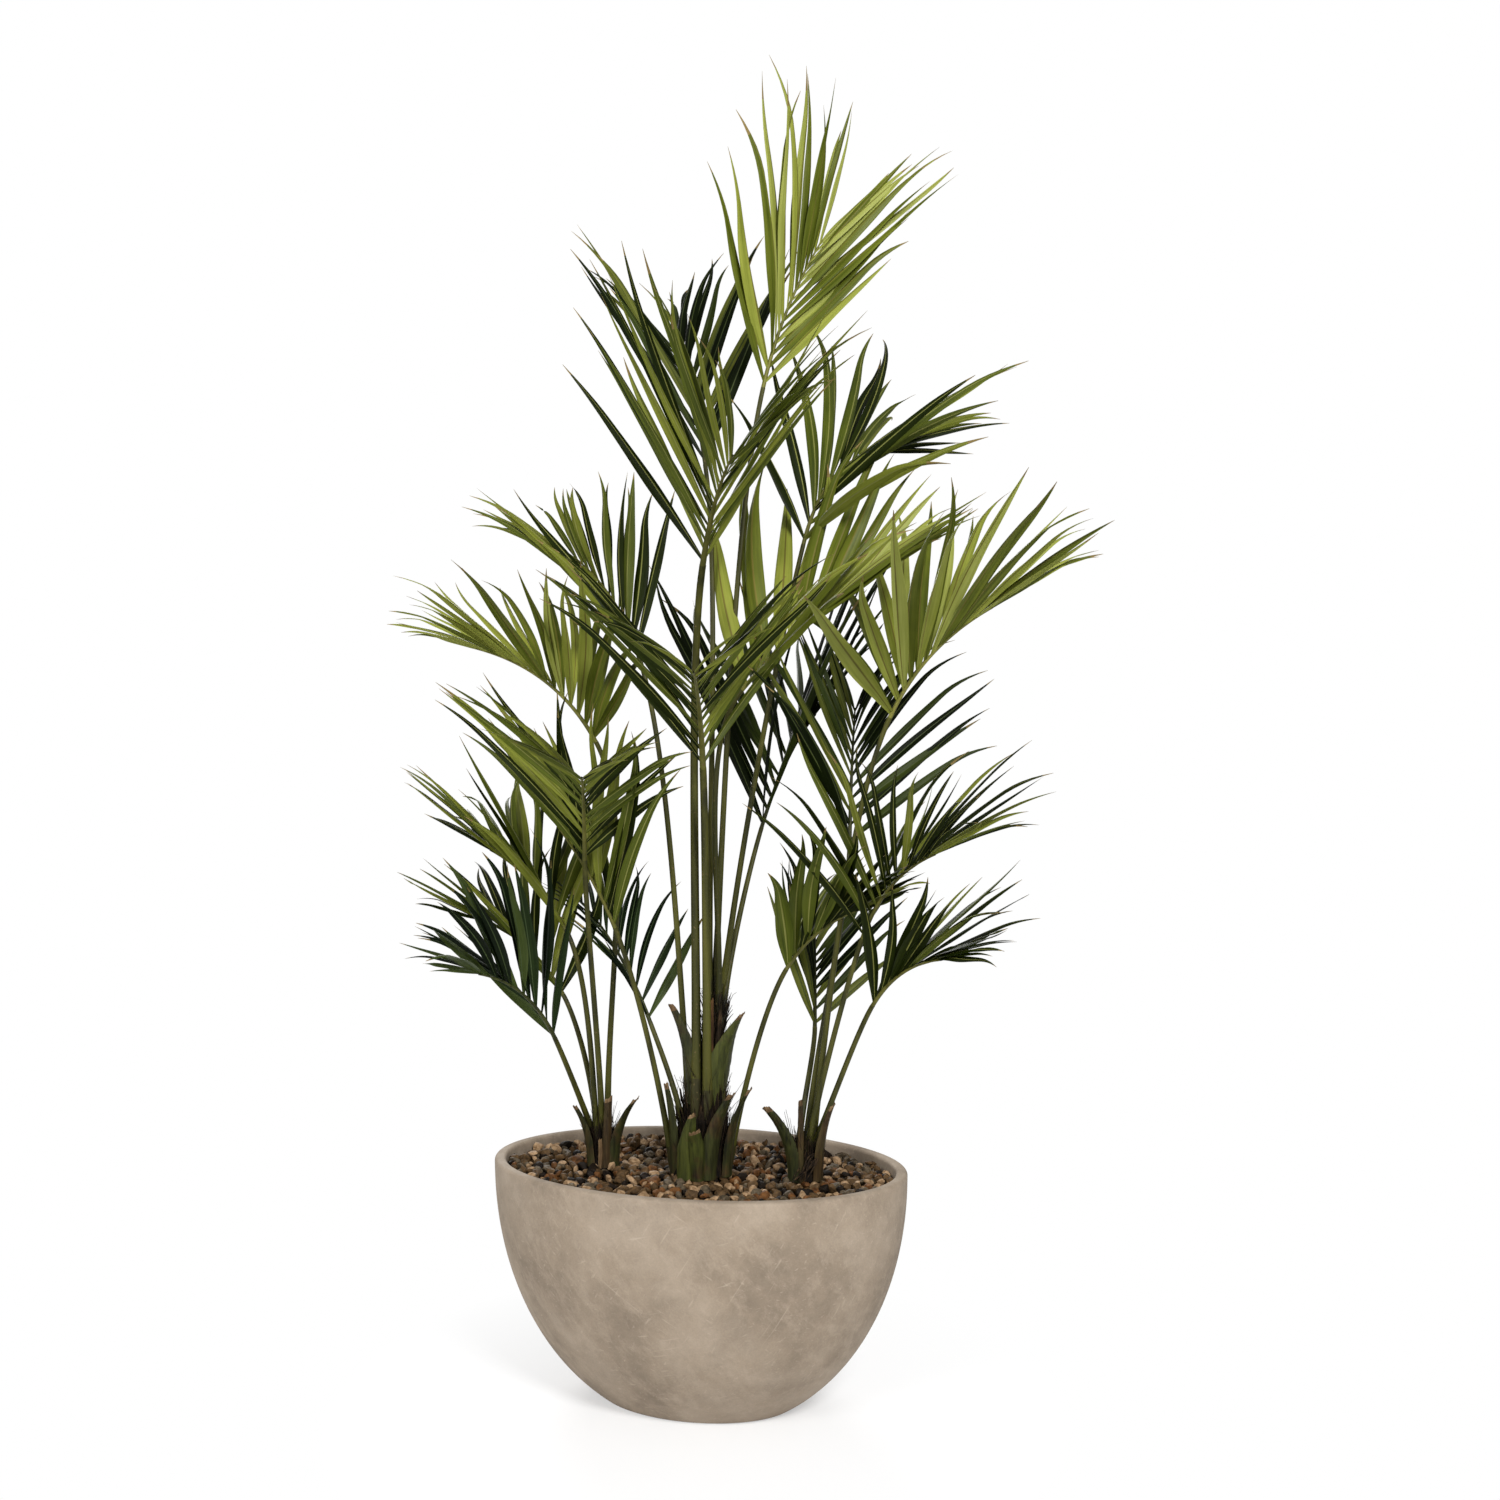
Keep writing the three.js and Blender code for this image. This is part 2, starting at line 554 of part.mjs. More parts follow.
const palm = new THREE.Group();
const plant = new THREE.Group();
plant.rotation.z = PLANT_TURN;
palm.add(plant);

function add(parent, name, solid, color, roughness) {
  const material = new THREE.MeshStandardMaterial({ color, roughness, metalness: 0 });
  const mesh = new THREE.Mesh(geometryOf(solid), material);
  mesh.name = name;
  parent.add(mesh);
}

add(palm, "pot", makePot(), 0xa99a88, 0.85);
add(palm, "gravel", makeGravel(), 0x66513a, 0.9);

for (const [name, stem] of Object.entries(STEMS)) {
  keep("stem_" + name, makeStem(stem, CLEAR));
  add(plant, "stem_" + name, makeStem(stem, 0), 0x4a3d28, 0.9);
}

const rows = Object.entries(FRONDS);

for (const [name, frond] of rows) {
  const curve = stalkCurve(frond, STEMS[name.split("_")[0]]);
  const stout = frond.stout ?? 1;
  const radii = [STALK_FOOT_RADIUS * stout, STALK_THROAT_RADIUS * stout];
  const solid = cutClear(limb(curve, STALK_SIDES, STALK_STEPS, ...radii), "stalk_" + name);
  keep("stalk_" + name, limb(curve, STALK_SIDES, STALK_STEPS, ...radii.map((radius) => radius + CLEAR)));
  add(plant, "stalk_" + name, solid, 0x6c6f3c, 0.6);
}

for (const [name, sheath] of Object.entries(SHEATHS)) {
  const solid = cutClear(makeSheath(sheath, 0), name);
  keep(name, makeSheath(sheath, CLEAR));
  add(plant, name, solid, 0x5b6034, 0.8);
}

for (const [name, frond] of rows) {
  const radii = [STALK_THROAT_RADIUS + LEAFLET_ROOM, RIB_TIP_RADIUS + LEAFLET_ROOM];
  keep("frond_" + name, limb(ribCurve(frond), STALK_SIDES, STALK_STEPS, ...radii));
}

// A leaflet that would touch something is bent aside, then shortened, and otherwise left out.
const BENDS = [{ spread: 0, rise: 0, length: 1 }];
for (const length of [1, 0.8, 0.6]) {
  for (const turn of [5, 10, 18]) {
    for (const [spread, rise] of [[1, 0], [-1, 0], [0, 1], [0, -1]]) {
      BENDS.push({ spread: spread * turn, rise: rise * turn, length });
    }
  }
}

function placeLeaflet(name, frond, row, pair, side) {
  for (const bend of BENDS) {
    const plan = leafletPlan(frond, row, pair, side, bend);
    const room = leafletRoom(plan, 0, LEAFLET_ROOM);
    const own = leafletRoom(plan, SHARED_BASE, LEAFLET_ROOM);
    if (!blocked("frond_" + name, room, own)) {
      keep("frond_" + name, room, own);
      return plan;
    }
  }
  return undefined;
}

rows.forEach(([name, frond], row) => {
  const plans = [];
  for (let pair = 0; pair < frond.pairs; pair += 1) {
    plans.push([-1, 1].map((side) => placeLeaflet(name, frond, row, pair, side)));
  }
  const solid = cutClear(makeFrond(frond, plans), "frond_" + name);
  add(plant, "frond_" + name, solid, TONES[frond.tone], 0.6);
});

export default palm;
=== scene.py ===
"""A potted kentia palm: leaflets, stalks, stems, gravel and pot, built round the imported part."""

import math

import bmesh
import bpy
import numpy as np
from mathutils import Matrix, Vector


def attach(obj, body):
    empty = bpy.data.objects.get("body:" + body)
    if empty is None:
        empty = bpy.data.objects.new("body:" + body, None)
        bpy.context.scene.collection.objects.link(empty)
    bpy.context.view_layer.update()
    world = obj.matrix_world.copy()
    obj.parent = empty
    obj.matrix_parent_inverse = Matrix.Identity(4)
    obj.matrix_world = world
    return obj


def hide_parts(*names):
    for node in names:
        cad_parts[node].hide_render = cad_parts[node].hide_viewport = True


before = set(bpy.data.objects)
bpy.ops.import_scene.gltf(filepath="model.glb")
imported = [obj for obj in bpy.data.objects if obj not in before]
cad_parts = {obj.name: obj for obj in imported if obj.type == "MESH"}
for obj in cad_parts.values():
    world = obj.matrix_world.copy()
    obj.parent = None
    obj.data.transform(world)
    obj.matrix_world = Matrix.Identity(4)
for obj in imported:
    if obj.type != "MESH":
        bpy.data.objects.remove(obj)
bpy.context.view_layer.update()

MM = 0.001
TURN = math.radians(15)
POT_LENGTH = 632
POT_DEPTH = 408
POT_HEIGHT = 350
BOWL_DEPTH = 390
BOWL_ROUNDNESS = 2.1
WALL = 17
RIM_RADIUS = 5
GRAVEL_TOP = 336
CLEAR = 0.3

STEMS = {
    "left": {"at": (-148, 38), "lean": (0, 0), "radii": [(0, 24), (18, 18), (42, 16)]},
    "centre": {"at": (4, -6), "lean": (0.1, 0),
               "radii": [(0, 48), (30, 38), (96, 34), (100, 33), (101, 17), (240, 15)]},
    "right": {"at": (160, -42), "lean": (0, 0), "radii": [(0, 25), (18, 19), (42, 17)]},
}

STALK_FOOT_RADIUS = 4.6
STALK_THROAT_RADIUS = 3.6
RIB_TIP_RADIUS = 1.3
LEAFLET_WIDTH = 22.5
LAST_WIDTH = 0.52
LOUVRE = 25

# The radius and the height at which the stalks leave the left and the right stem.
LEFT = (10.5, 42)
RIGHT = (11, 42)
# The fronds of each stem by number, in millimetres, x to the right, y away and z up: the foot of the
# stalk as an angle, radius and height on its stem, the throat, the rib's tip and how far the rib is
# arched and rolled. Then the leaflets: pairs, length, spread and rise in degrees at the base and the
# end of the rib, droop and tone. The tone is partly the frond's own green and partly painted light
# and shade: lighter for fronds in the light, darker for fronds that lie in shade.
CENTRE_FRONDS = {
    1: ((110, 10, 240), (99, 40, 1519), (190, 60, 1751), 10, 95, 11, 365, (34, 15), (26, 16), 0.03, "light"),
    2: ((235, 26, 100), (10, -60, 1236), (56, -230, 1363), 20, -20, 11, 370, (48, 26), (40, 28), 0.06, "mid"),
    3: ((170, 10, 240), (9, 90, 1411), (-53, 280, 1649), 20, -10, 10, 350, (38, 22), (42, 32), 0.06, "dark"),
    4: ((50, 10, 240), (161, 60, 1282), (285, 220, 1455), 35, 20, 10, 350, (50, 24), (35, 25), 0.13, "mid"),
    5: ((290, 10, 240), (67, -20, 1055), (262, -40, 1225), 10, 30, 10, 318, (46, 14), (30, 20), 0.06, "light"),
    6: ((275, 26, 100), (11, -80, 940), (5, -290, 1068), 25, 0, 11, 300, (50, 42), (36, 25), 0.12, "mid"),
    7: ((350, 10, 240), (97, 90, 845), (188, 240, 1025), 15, -30, 10, 425, (40, 18), (30, 25), 0.06, "dark"),
    8: ((180, 26, 100), (-90, 20, 1110), (-195, 100, 1267), 15, -28, 10, 290, (42, 20), (38, 22), 0.1, "mid"),
    9: ((190, 32, 70), (-72, 20, 554), (-193, 150, 726), 15, 0, 9, 195, (40, 24), (35, 25), 0.2, "blue"),
    10: ((188, 44, 20), (-121, -30, 703), (-198, -60, 849), 5, 8, 9, 300, (45, 20), (35, 25), 0.05, "mid"),
    11: ((355, 44, 25), (133, -20, 640), (252, -70, 738), 15, 0, 9, 220, (44, 18), (38, 26), 0.1, "mid"),
}
LEFT_FRONDS = {
    1: ((20, *LEFT), (-154, 20, 978), (-332, 0, 1118), 25, 0, 11, 260, (62, 15), (40, 20), 0.1, "light"),
    2: ((290, *LEFT), (-159, -90, 808), (-142, -280, 930), 25, -16, 11, 275, (54, 38), (34, 24), 0.13, "mid"),
    3: ((235, *LEFT), (-197, 0, 696), (-328, 100, 809), 15, 0, 10, 270, (48, 20), (35, 25), 0.09, "mid"),
    4: ((185, *LEFT), (-210, -30, 540), (-297, -170, 655), 20, 15, 9, 225, (38, 16), (36, 15), 0.12, "blue"),
    5: ((130, *LEFT), (-206, 40, 592), (-351, 140, 695), 20, 0, 8, 230, (45, 20), (35, 25), 0.06, "mid"),
}
RIGHT_FRONDS = {
    1: ((20, *RIGHT), (283, -60, 1013), (430, -80, 1172), 18, 8, 11, 335, (57, 14), (40, 18), 0.12, "light"),
    2: ((80, *RIGHT), (229, 10, 822), (245, 120, 1032), 15, 32, 10, 285, (54, 24), (30, 22), 0.1, "dark"),
    3: ((280, *RIGHT), (242, -75, 693), (334, -185, 822), 20, 0, 11, 292, (50, 16), (40, 20), 0.12, "mid"),
    4: ((340, *RIGHT), (260, -40, 590), (345, -150, 672), 15, 0, 9, 232, (44, 16), (38, 20), 0.08, "mid"),
    5: ((150, *RIGHT), (178, 40, 543), (185, 190, 673), 15, 25, 9, 230, (42, 22), (35, 25), 0.06, "dark"),
}
FRONDS = {
    f"{stem}_{number}": row
    for stem, rows in (("centre", CENTRE_FRONDS), ("left", LEFT_FRONDS), ("right", RIGHT_FRONDS))
    for number, row in rows.items()
}
FIELDS = ("foot", "throat", "tip", "arch", "roll", "pairs", "length", "spread", "rise", "droop", "tone")

# How upright a stalk leaves its stem: 0 straight for its throat and 1 straight up.
STALK_STEEP = 0.35
STEEP = {"left_3": 0.6, "left_4": 0.05, "left_5": 0.7, "right_3": 0.2, "right_4": 0}
# How many times as thick as the others some stalks are.
STOUT = {"centre_2": 1.45, "centre_6": 1.45}
# How far a stalk goes on under its foot.
FOOT_DEPTH = 26
# Pairs of leaflets to a pair of the solid's blades, and the pairs that single fronds have on top.
PAIR_GAIN = 1.29
MORE_PAIRS = {"centre_2": 4}
# The row of made-up numbers that a frond takes, where it isn't that of its place in the list.
SEEDS = {"centre_2": 35}

LEVEL = (0, 0, 0)
WHOLE = (1, 1, 1)
STRAIGHT = (LEVEL, LEVEL, WHOLE)
# No lean of the tints: neither painted shade nor painted light.
NO_PAINTED_SHADE = (0, 0)
# What one side of a frond (1 right and -1 left of its rib, looking onward) adds to the rule at the
# base, middle and end of the rib: degrees of spread, degrees of rise and the share of length kept,
# then how far its blades are turned about their own length, their share of the width, and how far
# their tints lean to dark, or below zero to light, at the base and the end of the rib. That lean is
# painted shade on leaflets that lie in shade and, below zero, painted light on leaflets in the light.
SIDES = {
    ("centre_1", 1): ((-5, 0, -6), LEVEL, (0.82, 0.93, 1), 25, 1, (0, -0.5)),
    ("centre_1", -1): (*STRAIGHT, 25, 1.3, (0, -0.4)),
    ("centre_2", 1): ((9, 4, 0), LEVEL, (0.97, 0.94, 0.98), -15, 0.8, (0.3, 0)),
    ("centre_2", -1): ((-6, -2, 0), (24, 22, 20), (0.84, 0.88, 0.9), -5, 0.74, (-0.5, -0.1)),
    ("centre_3", 1): ((0, -4, -12), LEVEL, WHOLE, -25, 1, (0.6, 0.6)),
    ("centre_3", -1): ((-4, -6, -4), LEVEL, WHOLE, -15, 0.85, (0.3, 0.6)),
    ("centre_4", 1): ((14, 2, 0), LEVEL, (0.9, 1, 1), -35, 1, (0.4, -0.3)),
    ("centre_4", -1): ((-15, -20, -8), LEVEL, (0.8, 1.24, 1.15), 20, 1.15, (1.3, -0.2)),
    ("centre_5", -1): ((14, 6, 0), LEVEL, (1.1, 1.05, 1), 25, 1.4, (1, 0.2)),
    ("centre_5", 1): (*STRAIGHT, -35, 1, (0.8, 0.2)),
    ("centre_6", 1): (LEVEL, (8, 8, 8), (0.98, 0.95, 0.9), -22, 0.75, (1.3, -0.1)),
    ("centre_6", -1): (LEVEL, (8, 8, 8), (1, 1, 0.9), -22, 0.75, (-0.3, 0.1)),
    ("centre_7", 1): (*STRAIGHT, -20, 1, (1, 0.8)),
    ("centre_7", -1): ((4, 4, 2), (25, 14, 0), (1.24, 1.2, 1.05), -20, 1, (0.9, 0.7)),
    ("centre_8", 1): ((-12, -5, 0), LEVEL, (0.85, 0.82, 1), 25, 1, (1.2, -0.4)),
    ("centre_8", -1): ((0, 0, 6), LEVEL, (0.9, 0.9, 0.9), -20, 0.9, NO_PAINTED_SHADE),
    ("centre_9", 1): (*STRAIGHT, 25, 0.66, NO_PAINTED_SHADE),
    ("centre_9", -1): (LEVEL, LEVEL, (0.8, 0.8, 0.8), 25, 0.66, NO_PAINTED_SHADE),
    ("centre_11", 1): ((-8, 2, 0), LEVEL, WHOLE, 25, 1.1, (0.4, 0.4)),
    ("centre_11", -1): (LEVEL, LEVEL, (0.8, 0.68, 0.68), 25, 1.1, (0.6, 0.5)),
    ("left_1", 1): (*STRAIGHT, 25, 0.86, NO_PAINTED_SHADE),
    ("left_2", 1): (LEVEL, (-8, -8, -6), (0.98, 0.98, 0.98), -28, 0.7, NO_PAINTED_SHADE),
    ("left_2", -1): ((-6, -6, -6), (4, 12, 16), (0.68, 0.62, 0.66), -28, 0.68, (0.4, 0.2)),
    ("left_3", -1): (LEVEL, (6, 10, 14), WHOLE, -30, 0.74, NO_PAINTED_SHADE),
    ("left_4", 1): (LEVEL, (0, 8, 26), (0.9, 0.9, 0.8), -15, 0.9, (0.5, -0.5)),
    ("left_4", -1): ((-4, -4, 4), (24, 20, 10), (1.1, 1.25, 1.6), 25, 1.2, (0.7, 0.4)),
    ("left_5", -1): (*STRAIGHT, -20, 1, (0.5, 0.4)),
    ("left_5", 1): (*STRAIGHT, LOUVRE, 1, (0.5, 0.4)),
    ("right_1", 1): ((10, 2, 0), LEVEL, (1, 1, 1.14), 25, 1.2, NO_PAINTED_SHADE),
    ("right_1", -1): ((6, 4, 0), LEVEL, (1, 1, 1.12), 25, 1.2, NO_PAINTED_SHADE),
    ("right_2", 1): ((-4, -10, -8), LEVEL, (1, 1.02, 1.2), -20, 0.72, (0.5, 0.2)),
    ("right_2", -1): (LEVEL, LEVEL, (1.1, 0.88, 0.85), -20, 0.78, (-0.5, -0.4)),
    ("right_3", 1): (*STRAIGHT, 25, 0.7, (0.3, 0.3)),
    ("right_3", -1): (LEVEL, LEVEL, (0.92, 0.92, 0.92), -15, 0.78, (0.3, 0.3)),
    ("right_4", -1): (LEVEL, (0, 2, 10), (1, 0.96, 0.96), -15, 0.9, (0.6, 0.5)),
    ("right_4", 1): ((-16, -25, -14), (0, 4, 8), WHOLE, 25, 0.9, (0.8, 0.8)),
    ("right_5", 1): (LEVEL, LEVEL, (0.9, 0.9, 0.9), -25, 0.8, NO_PAINTED_SHADE),
    ("right_5", -1): ((-14, -8, -4), LEVEL, WHOLE, -25, 0.76, NO_PAINTED_SHADE),
}
PLAIN_SIDE = (*STRAIGHT, LOUVRE, 1, NO_PAINTED_SHADE)

# The sheaths of cut leaves, from sheath_1 on: the way one faces, its base and tip from the gravel's
# top, its width at the base, low on the blade and at the tip, and the state of its skin.
SHEATHS = [
    (256, (-17, -56, 0), (-5, -68, 100), (26, 30, 9), "fresh"),
    (290, (20, -55, 0), (54, -74, 131), (24, 28, 12), "dull"),
    (325, (48, -34, 0), (80, -48, 132), (22, 22, 10), "dull"),
    (305, (33, -28, 104), (69, -46, 243), (32, 46, 9), "fresh"),
    (230, (-8, -24, 104), (-39, -36, 254), (22, 26, 9), "dull"),
    (215, (-35, -26, 0), (-46, -40, 138), (20, 20, 9), "dull"),
    (220, (-164, 20, 0), (-186, 8, 94), (18, 16, 8), "dull"),
    (320, (-124, 18, 0), (-90, 2, 107), (26, 22, 13), "dull"),
    (290, (-136, 12, 0), (-133, 8, 107), (18, 15, 11), "dry"),
    (230, (141, -62, 0), (100, -78, 112), (28, 24, 12), "dull"),
    (265, (153, -66, 0), (152, -74, 121), (12, 10, 6), "dry"),
    (325, (182, -58, 0), (201, -68, 114), (24, 22, 12), "dry"),
]
FRONT_SHEATH = (274, (3, -61, 0), (-2, -73, 76), (18, 25, 15), "fresh")
SHEATH_THICKNESS = 2.4

UP = np.array((0.0, 0.0, 1.0))


def vec(*values):
    return np.array(values, float)


def level_way(angle):
    return vec(math.cos(angle), math.sin(angle), 0)


def unit(v):
    return v / np.linalg.norm(v)


def units(rows):
    return rows / np.linalg.norm(rows, axis=1)[:, None]


def mix(a, b, share):
    return a + (b - a) * share


def curve(start, bend, end, t):
    return (1 - t) ** 2 * start + 2 * t * (1 - t) * bend + t**2 * end


def wobble(row, place, use):
    """The same made-up number between -1 and 1 for the same row and place every time."""
    spun = math.sin(row * 12.9898 + place * 78.233 + use * 37.719) * 43758.5453
    return 2 * (spun - math.floor(spun)) - 1


def turned(v, axis, angle):
    """v turned about a unit axis."""
    cos, sin = math.cos(angle), math.sin(angle)
    return v * cos + np.cross(axis, v) * sin + axis * (axis @ v) * (1 - cos)


def to_metres(points, plant=True):
    """Points in millimetres to the row frame in metres, the plant's turned in its pot."""
    points = np.asarray(points, float).reshape(-1, 3)
    if plant:
        cos, sin = math.cos(TURN), math.sin(TURN)
        x = points[:, 0] * cos - points[:, 1] * sin
        y = points[:, 0] * sin + points[:, 1] * cos
        points = np.stack((x, y, points[:, 2]), 1)
    return points * MM


def new_object(name, data):
    thing = bpy.data.objects.new(name, data)
    bpy.context.scene.collection.objects.link(thing)
    return thing


def grid_faces(rows, cols, around=False):
    """Quads over rows of points, each row closed into a ring where around is set."""
    spans = cols if around else cols - 1
    r, c = np.meshgrid(np.arange(rows - 1), np.arange(spans), indexing="ij")
    a = (r * cols + c).ravel()
    b = (r * cols + (c + 1) % cols).ravel()
    return np.stack((a, b, b + cols, a + cols), 1)


class Heap:
    """Points, faces, UVs and material numbers gathered from many small shapes."""

    def __init__(self):
        self.points, self.faces, self.uv, self.which, self.count = [], [], [], [], 0

    def add(self, points, faces, which=0, uv=None):
        points = np.asarray(points, float).reshape(-1, 3)
        faces = np.asarray(faces)
        self.points.append(points)
        self.faces.append(faces + self.count)
        self.uv.append(np.zeros((len(points), 2)) if uv is None else uv)
        self.which.append(np.broadcast_to(which, (len(faces),)))
        self.count += len(points)

    def add_tube(self, line, radii, sides, which=0, groove=0.0, upper=UP):
        faces = grid_faces(len(line), sides, around=True)
        self.add(tube(line, radii, sides, groove, upper), faces, which)

    def close(self, faces, which=0):
        """More faces between points that the heap already has."""
        self.faces.append(np.asarray(faces))
        self.which.append(np.full(len(faces), which))

    def piece(self, name, materials, slot, replaced=(), plant=True, smooth=True):
        """All of it as one mesh that rides on the part's one body and stands for CAD nodes."""
        mesh = bpy.data.meshes.new(name)
        faces = [face for group in self.faces for face in group.tolist()]
        mesh.from_pydata(to_metres(np.concatenate(self.points), plant).tolist(), [], faces)
        for material in materials:
            mesh.materials.append(material)
        mesh.polygons.foreach_set("material_index", np.concatenate(self.which).astype(np.int32))
        mesh.polygons.foreach_set("use_smooth", np.full(len(mesh.polygons), smooth))
        corners = np.zeros(len(mesh.loops), np.int32)
        mesh.loops.foreach_get("vertex_index", corners)
        uv = np.concatenate(self.uv).astype(np.float32)[corners]
        mesh.uv_layers.new(name="leaf").data.foreach_set("uv", uv.ravel())
        mesh.update()
        piece = new_object(name, mesh)
        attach(piece, "root")
        if replaced:
            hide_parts(*replaced)
        return piece


def tube(points, radii, sides, groove, upper):
    """Rings round a line of points, each as wide as its radius, with a groove on its upper side."""
    points = np.asarray(points, float)
    along = units(np.gradient(points, axis=0))
    across = np.cross(along, upper)
    across /= np.maximum(np.linalg.norm(across, axis=1), 1e-6)[:, None]
    over = np.cross(across, along)
    angle = np.arange(sides) * 2 * math.pi / sides
    shape = 1 - groove * np.exp(-(((angle - math.pi / 2) / 0.45) ** 2))
    radii = np.asarray(radii, float)[:, None, None]
    ring = across[:, None, :] * (np.cos(angle) * shape)[None, :, None]
    ring = ring + over[:, None, :] * (np.sin(angle) * shape)[None, :, None]
    return (points[:, None, :] + radii * ring).reshape(-1, 3)


# Materials.

def linear(colour):
    """A colour as seen on a screen, 0 to 255, or a level of grey, 0 to 1, as linear light."""
    if not isinstance(colour, tuple):
        return (colour, colour, colour, 1.0)
    parts = [v / 255 for v in colour]
    return (*(v / 12.92 if v <= 0.04045 else ((v + 0.055) / 1.055) ** 2.4 for v in parts), 1.0)


def add_node(tree, kind, inputs, output=0, **settings):
    """A new node with its settings and a value or a link to each of these inputs; gives its output."""
    node = tree.nodes.new("ShaderNode" + kind)
    for key, value in settings.items():
        setattr(node, key, value)
    for key, value in inputs.items():
        if isinstance(value, bpy.types.NodeSocket):
            tree.links.new(value, node.inputs[key])
        else:
            node.inputs[key].default_value = value
    return node.outputs[output]


class Paint:
    """A procedural material that is put together node by node."""

    def __init__(self, name, roughness, shine=0.5):
        self.material = bpy.data.materials.new(name)
        self.material.use_nodes = True
        self.tree = self.material.node_tree
        self.shader = self.tree.nodes["Principled BSDF"]
        self.shader.inputs["Roughness"].default_value = roughness
        self.shader.inputs["Specular IOR Level"].default_value = shine
        self.places = self.tree.nodes.new("ShaderNodeTexCoord").outputs

    def stretched(self, scale, source="Object", tilt=0):
        """Places squeezed by the scale and tilted in the X-Z plane, which draw a pattern out."""
        inputs = {
            "Scale": [1 / one for one in scale],
            "Rotation": (0, math.radians(tilt), 0),
            "Vector": self.places[source],
        }
        return add_node(self.tree, "Mapping", inputs, vector_type="TEXTURE")

    def noise(self, scale, detail=4, roughness=0.55, at=None, distortion=0.0):
        inputs = {"Scale": scale, "Detail": detail, "Roughness": roughness, "Distortion": distortion}
        inputs["Vector"] = at or self.places["Object"]
        return add_node(self.tree, "TexNoise", inputs)

    def ramp(self, value, stops):
        out = add_node(self.tree, "ValToRGB", {"Fac": value})
        elements = out.node.color_ramp.elements
        while len(elements) < len(stops):
            elements.new(0.5)
        for element, (place, colour) in zip(elements, stops):
            element.position = place
            element.color = linear(colour)
        return out

    def blend(self, share, a, b, kind="MIX"):
        if isinstance(b, tuple):
            b = linear(b)
        return add_node(self.tree, "Mix", {0: share, 6: a, 7: b}, 2, data_type="RGBA", blend_type=kind)

    def bump(self, height, strength, distance, after=None):
        inputs = {"Strength": strength, "Distance": distance, "Height": height}
        if after is not None:
            inputs["Normal"] = after
        return add_node(self.tree, "Bump", inputs)

    def finished(self, colour, normal, rough=None):
        """The material with its colour, its bumps and, if given, its changing roughness."""
        for out, name in ((colour, "Base Color"), (normal, "Normal"), (rough, "Roughness")):
            if out is not None:
                self.tree.links.new(out, self.shader.inputs[name])
        return self.material


def leaf_paint(name, low, high, roughness=0.42, shine=0.11):
    """Leaf: two close greens in long streaks, fine parallel veins and a soft gloss."""
    paint = Paint(name, roughness, shine)
    streaks = paint.noise(1.0, detail=3, at=paint.stretched((5, 0.6, 1), "UV"))
    share = paint.blend(0.35, streaks, paint.noise(9, detail=3))
    veins = paint.noise(1.0, detail=2, at=paint.stretched((34, 0.8, 1), "UV"))
    return paint.finished(paint.ramp(share, [(0.36, low), (0.62, high)]), paint.bump(veins, 0.35, 0.0006))


def stalk_paint(name, low, high):
    """Stalk: olive skin with long streaks and small brown flecks."""
    paint = Paint(name, 0.5, 0.2)
    streaks = paint.noise(60, detail=3, at=paint.stretched((1, 1, 0.06)))
    tone = paint.ramp(streaks, [(0.35, low), (0.65, high)])
    flecks = paint.ramp(paint.noise(220, detail=2), [(0.66, 0), (0.72, 1)])
    return paint.finished(paint.blend(flecks, tone, (86, 74, 44)), paint.bump(streaks, 0.3, 0.0006))


def bark_paint(name, low, middle, high):
    """Fibrous brown: coarse upright strands over dark clefts."""
    paint = Paint(name, 0.85, 0.15)
    strands = paint.noise(170, detail=6, roughness=0.65, at=paint.stretched((1, 1, 0.12)), distortion=0.4)
    tone = paint.ramp(strands, [(0.3, low), (0.5, middle), (0.72, high)])
    shade = paint.ramp(paint.noise(35), [(0.3, 0.25), (0.65, 1)])
    return paint.finished(paint.blend(0.6, tone, shade, "MULTIPLY"), paint.bump(strands, 0.9, 0.002))


def sheath_paint(name, low, high, dry_share):
    """Sheath: skin with upright fibres and dry brown patches over a share of it."""
    paint = Paint(name, 0.55, 0.2)
    strands = paint.noise(190, detail=5, roughness=0.6, at=paint.stretched((1, 1, 0.1)))
    patches = paint.noise(28, detail=5, roughness=0.6)
    skin = paint.ramp(strands, [(0.3, low), (0.66, high)])
    brown = paint.ramp(strands, [(0.3, (26, 18, 9)), (0.66, (68, 52, 28))])
    edge = 0.6 - 0.3 * dry_share
    share = paint.ramp(patches, [(edge, 0), (edge + 0.16, 1)])
    return paint.finished(paint.blend(share, skin, brown), paint.bump(strands, 0.7, 0.0012))


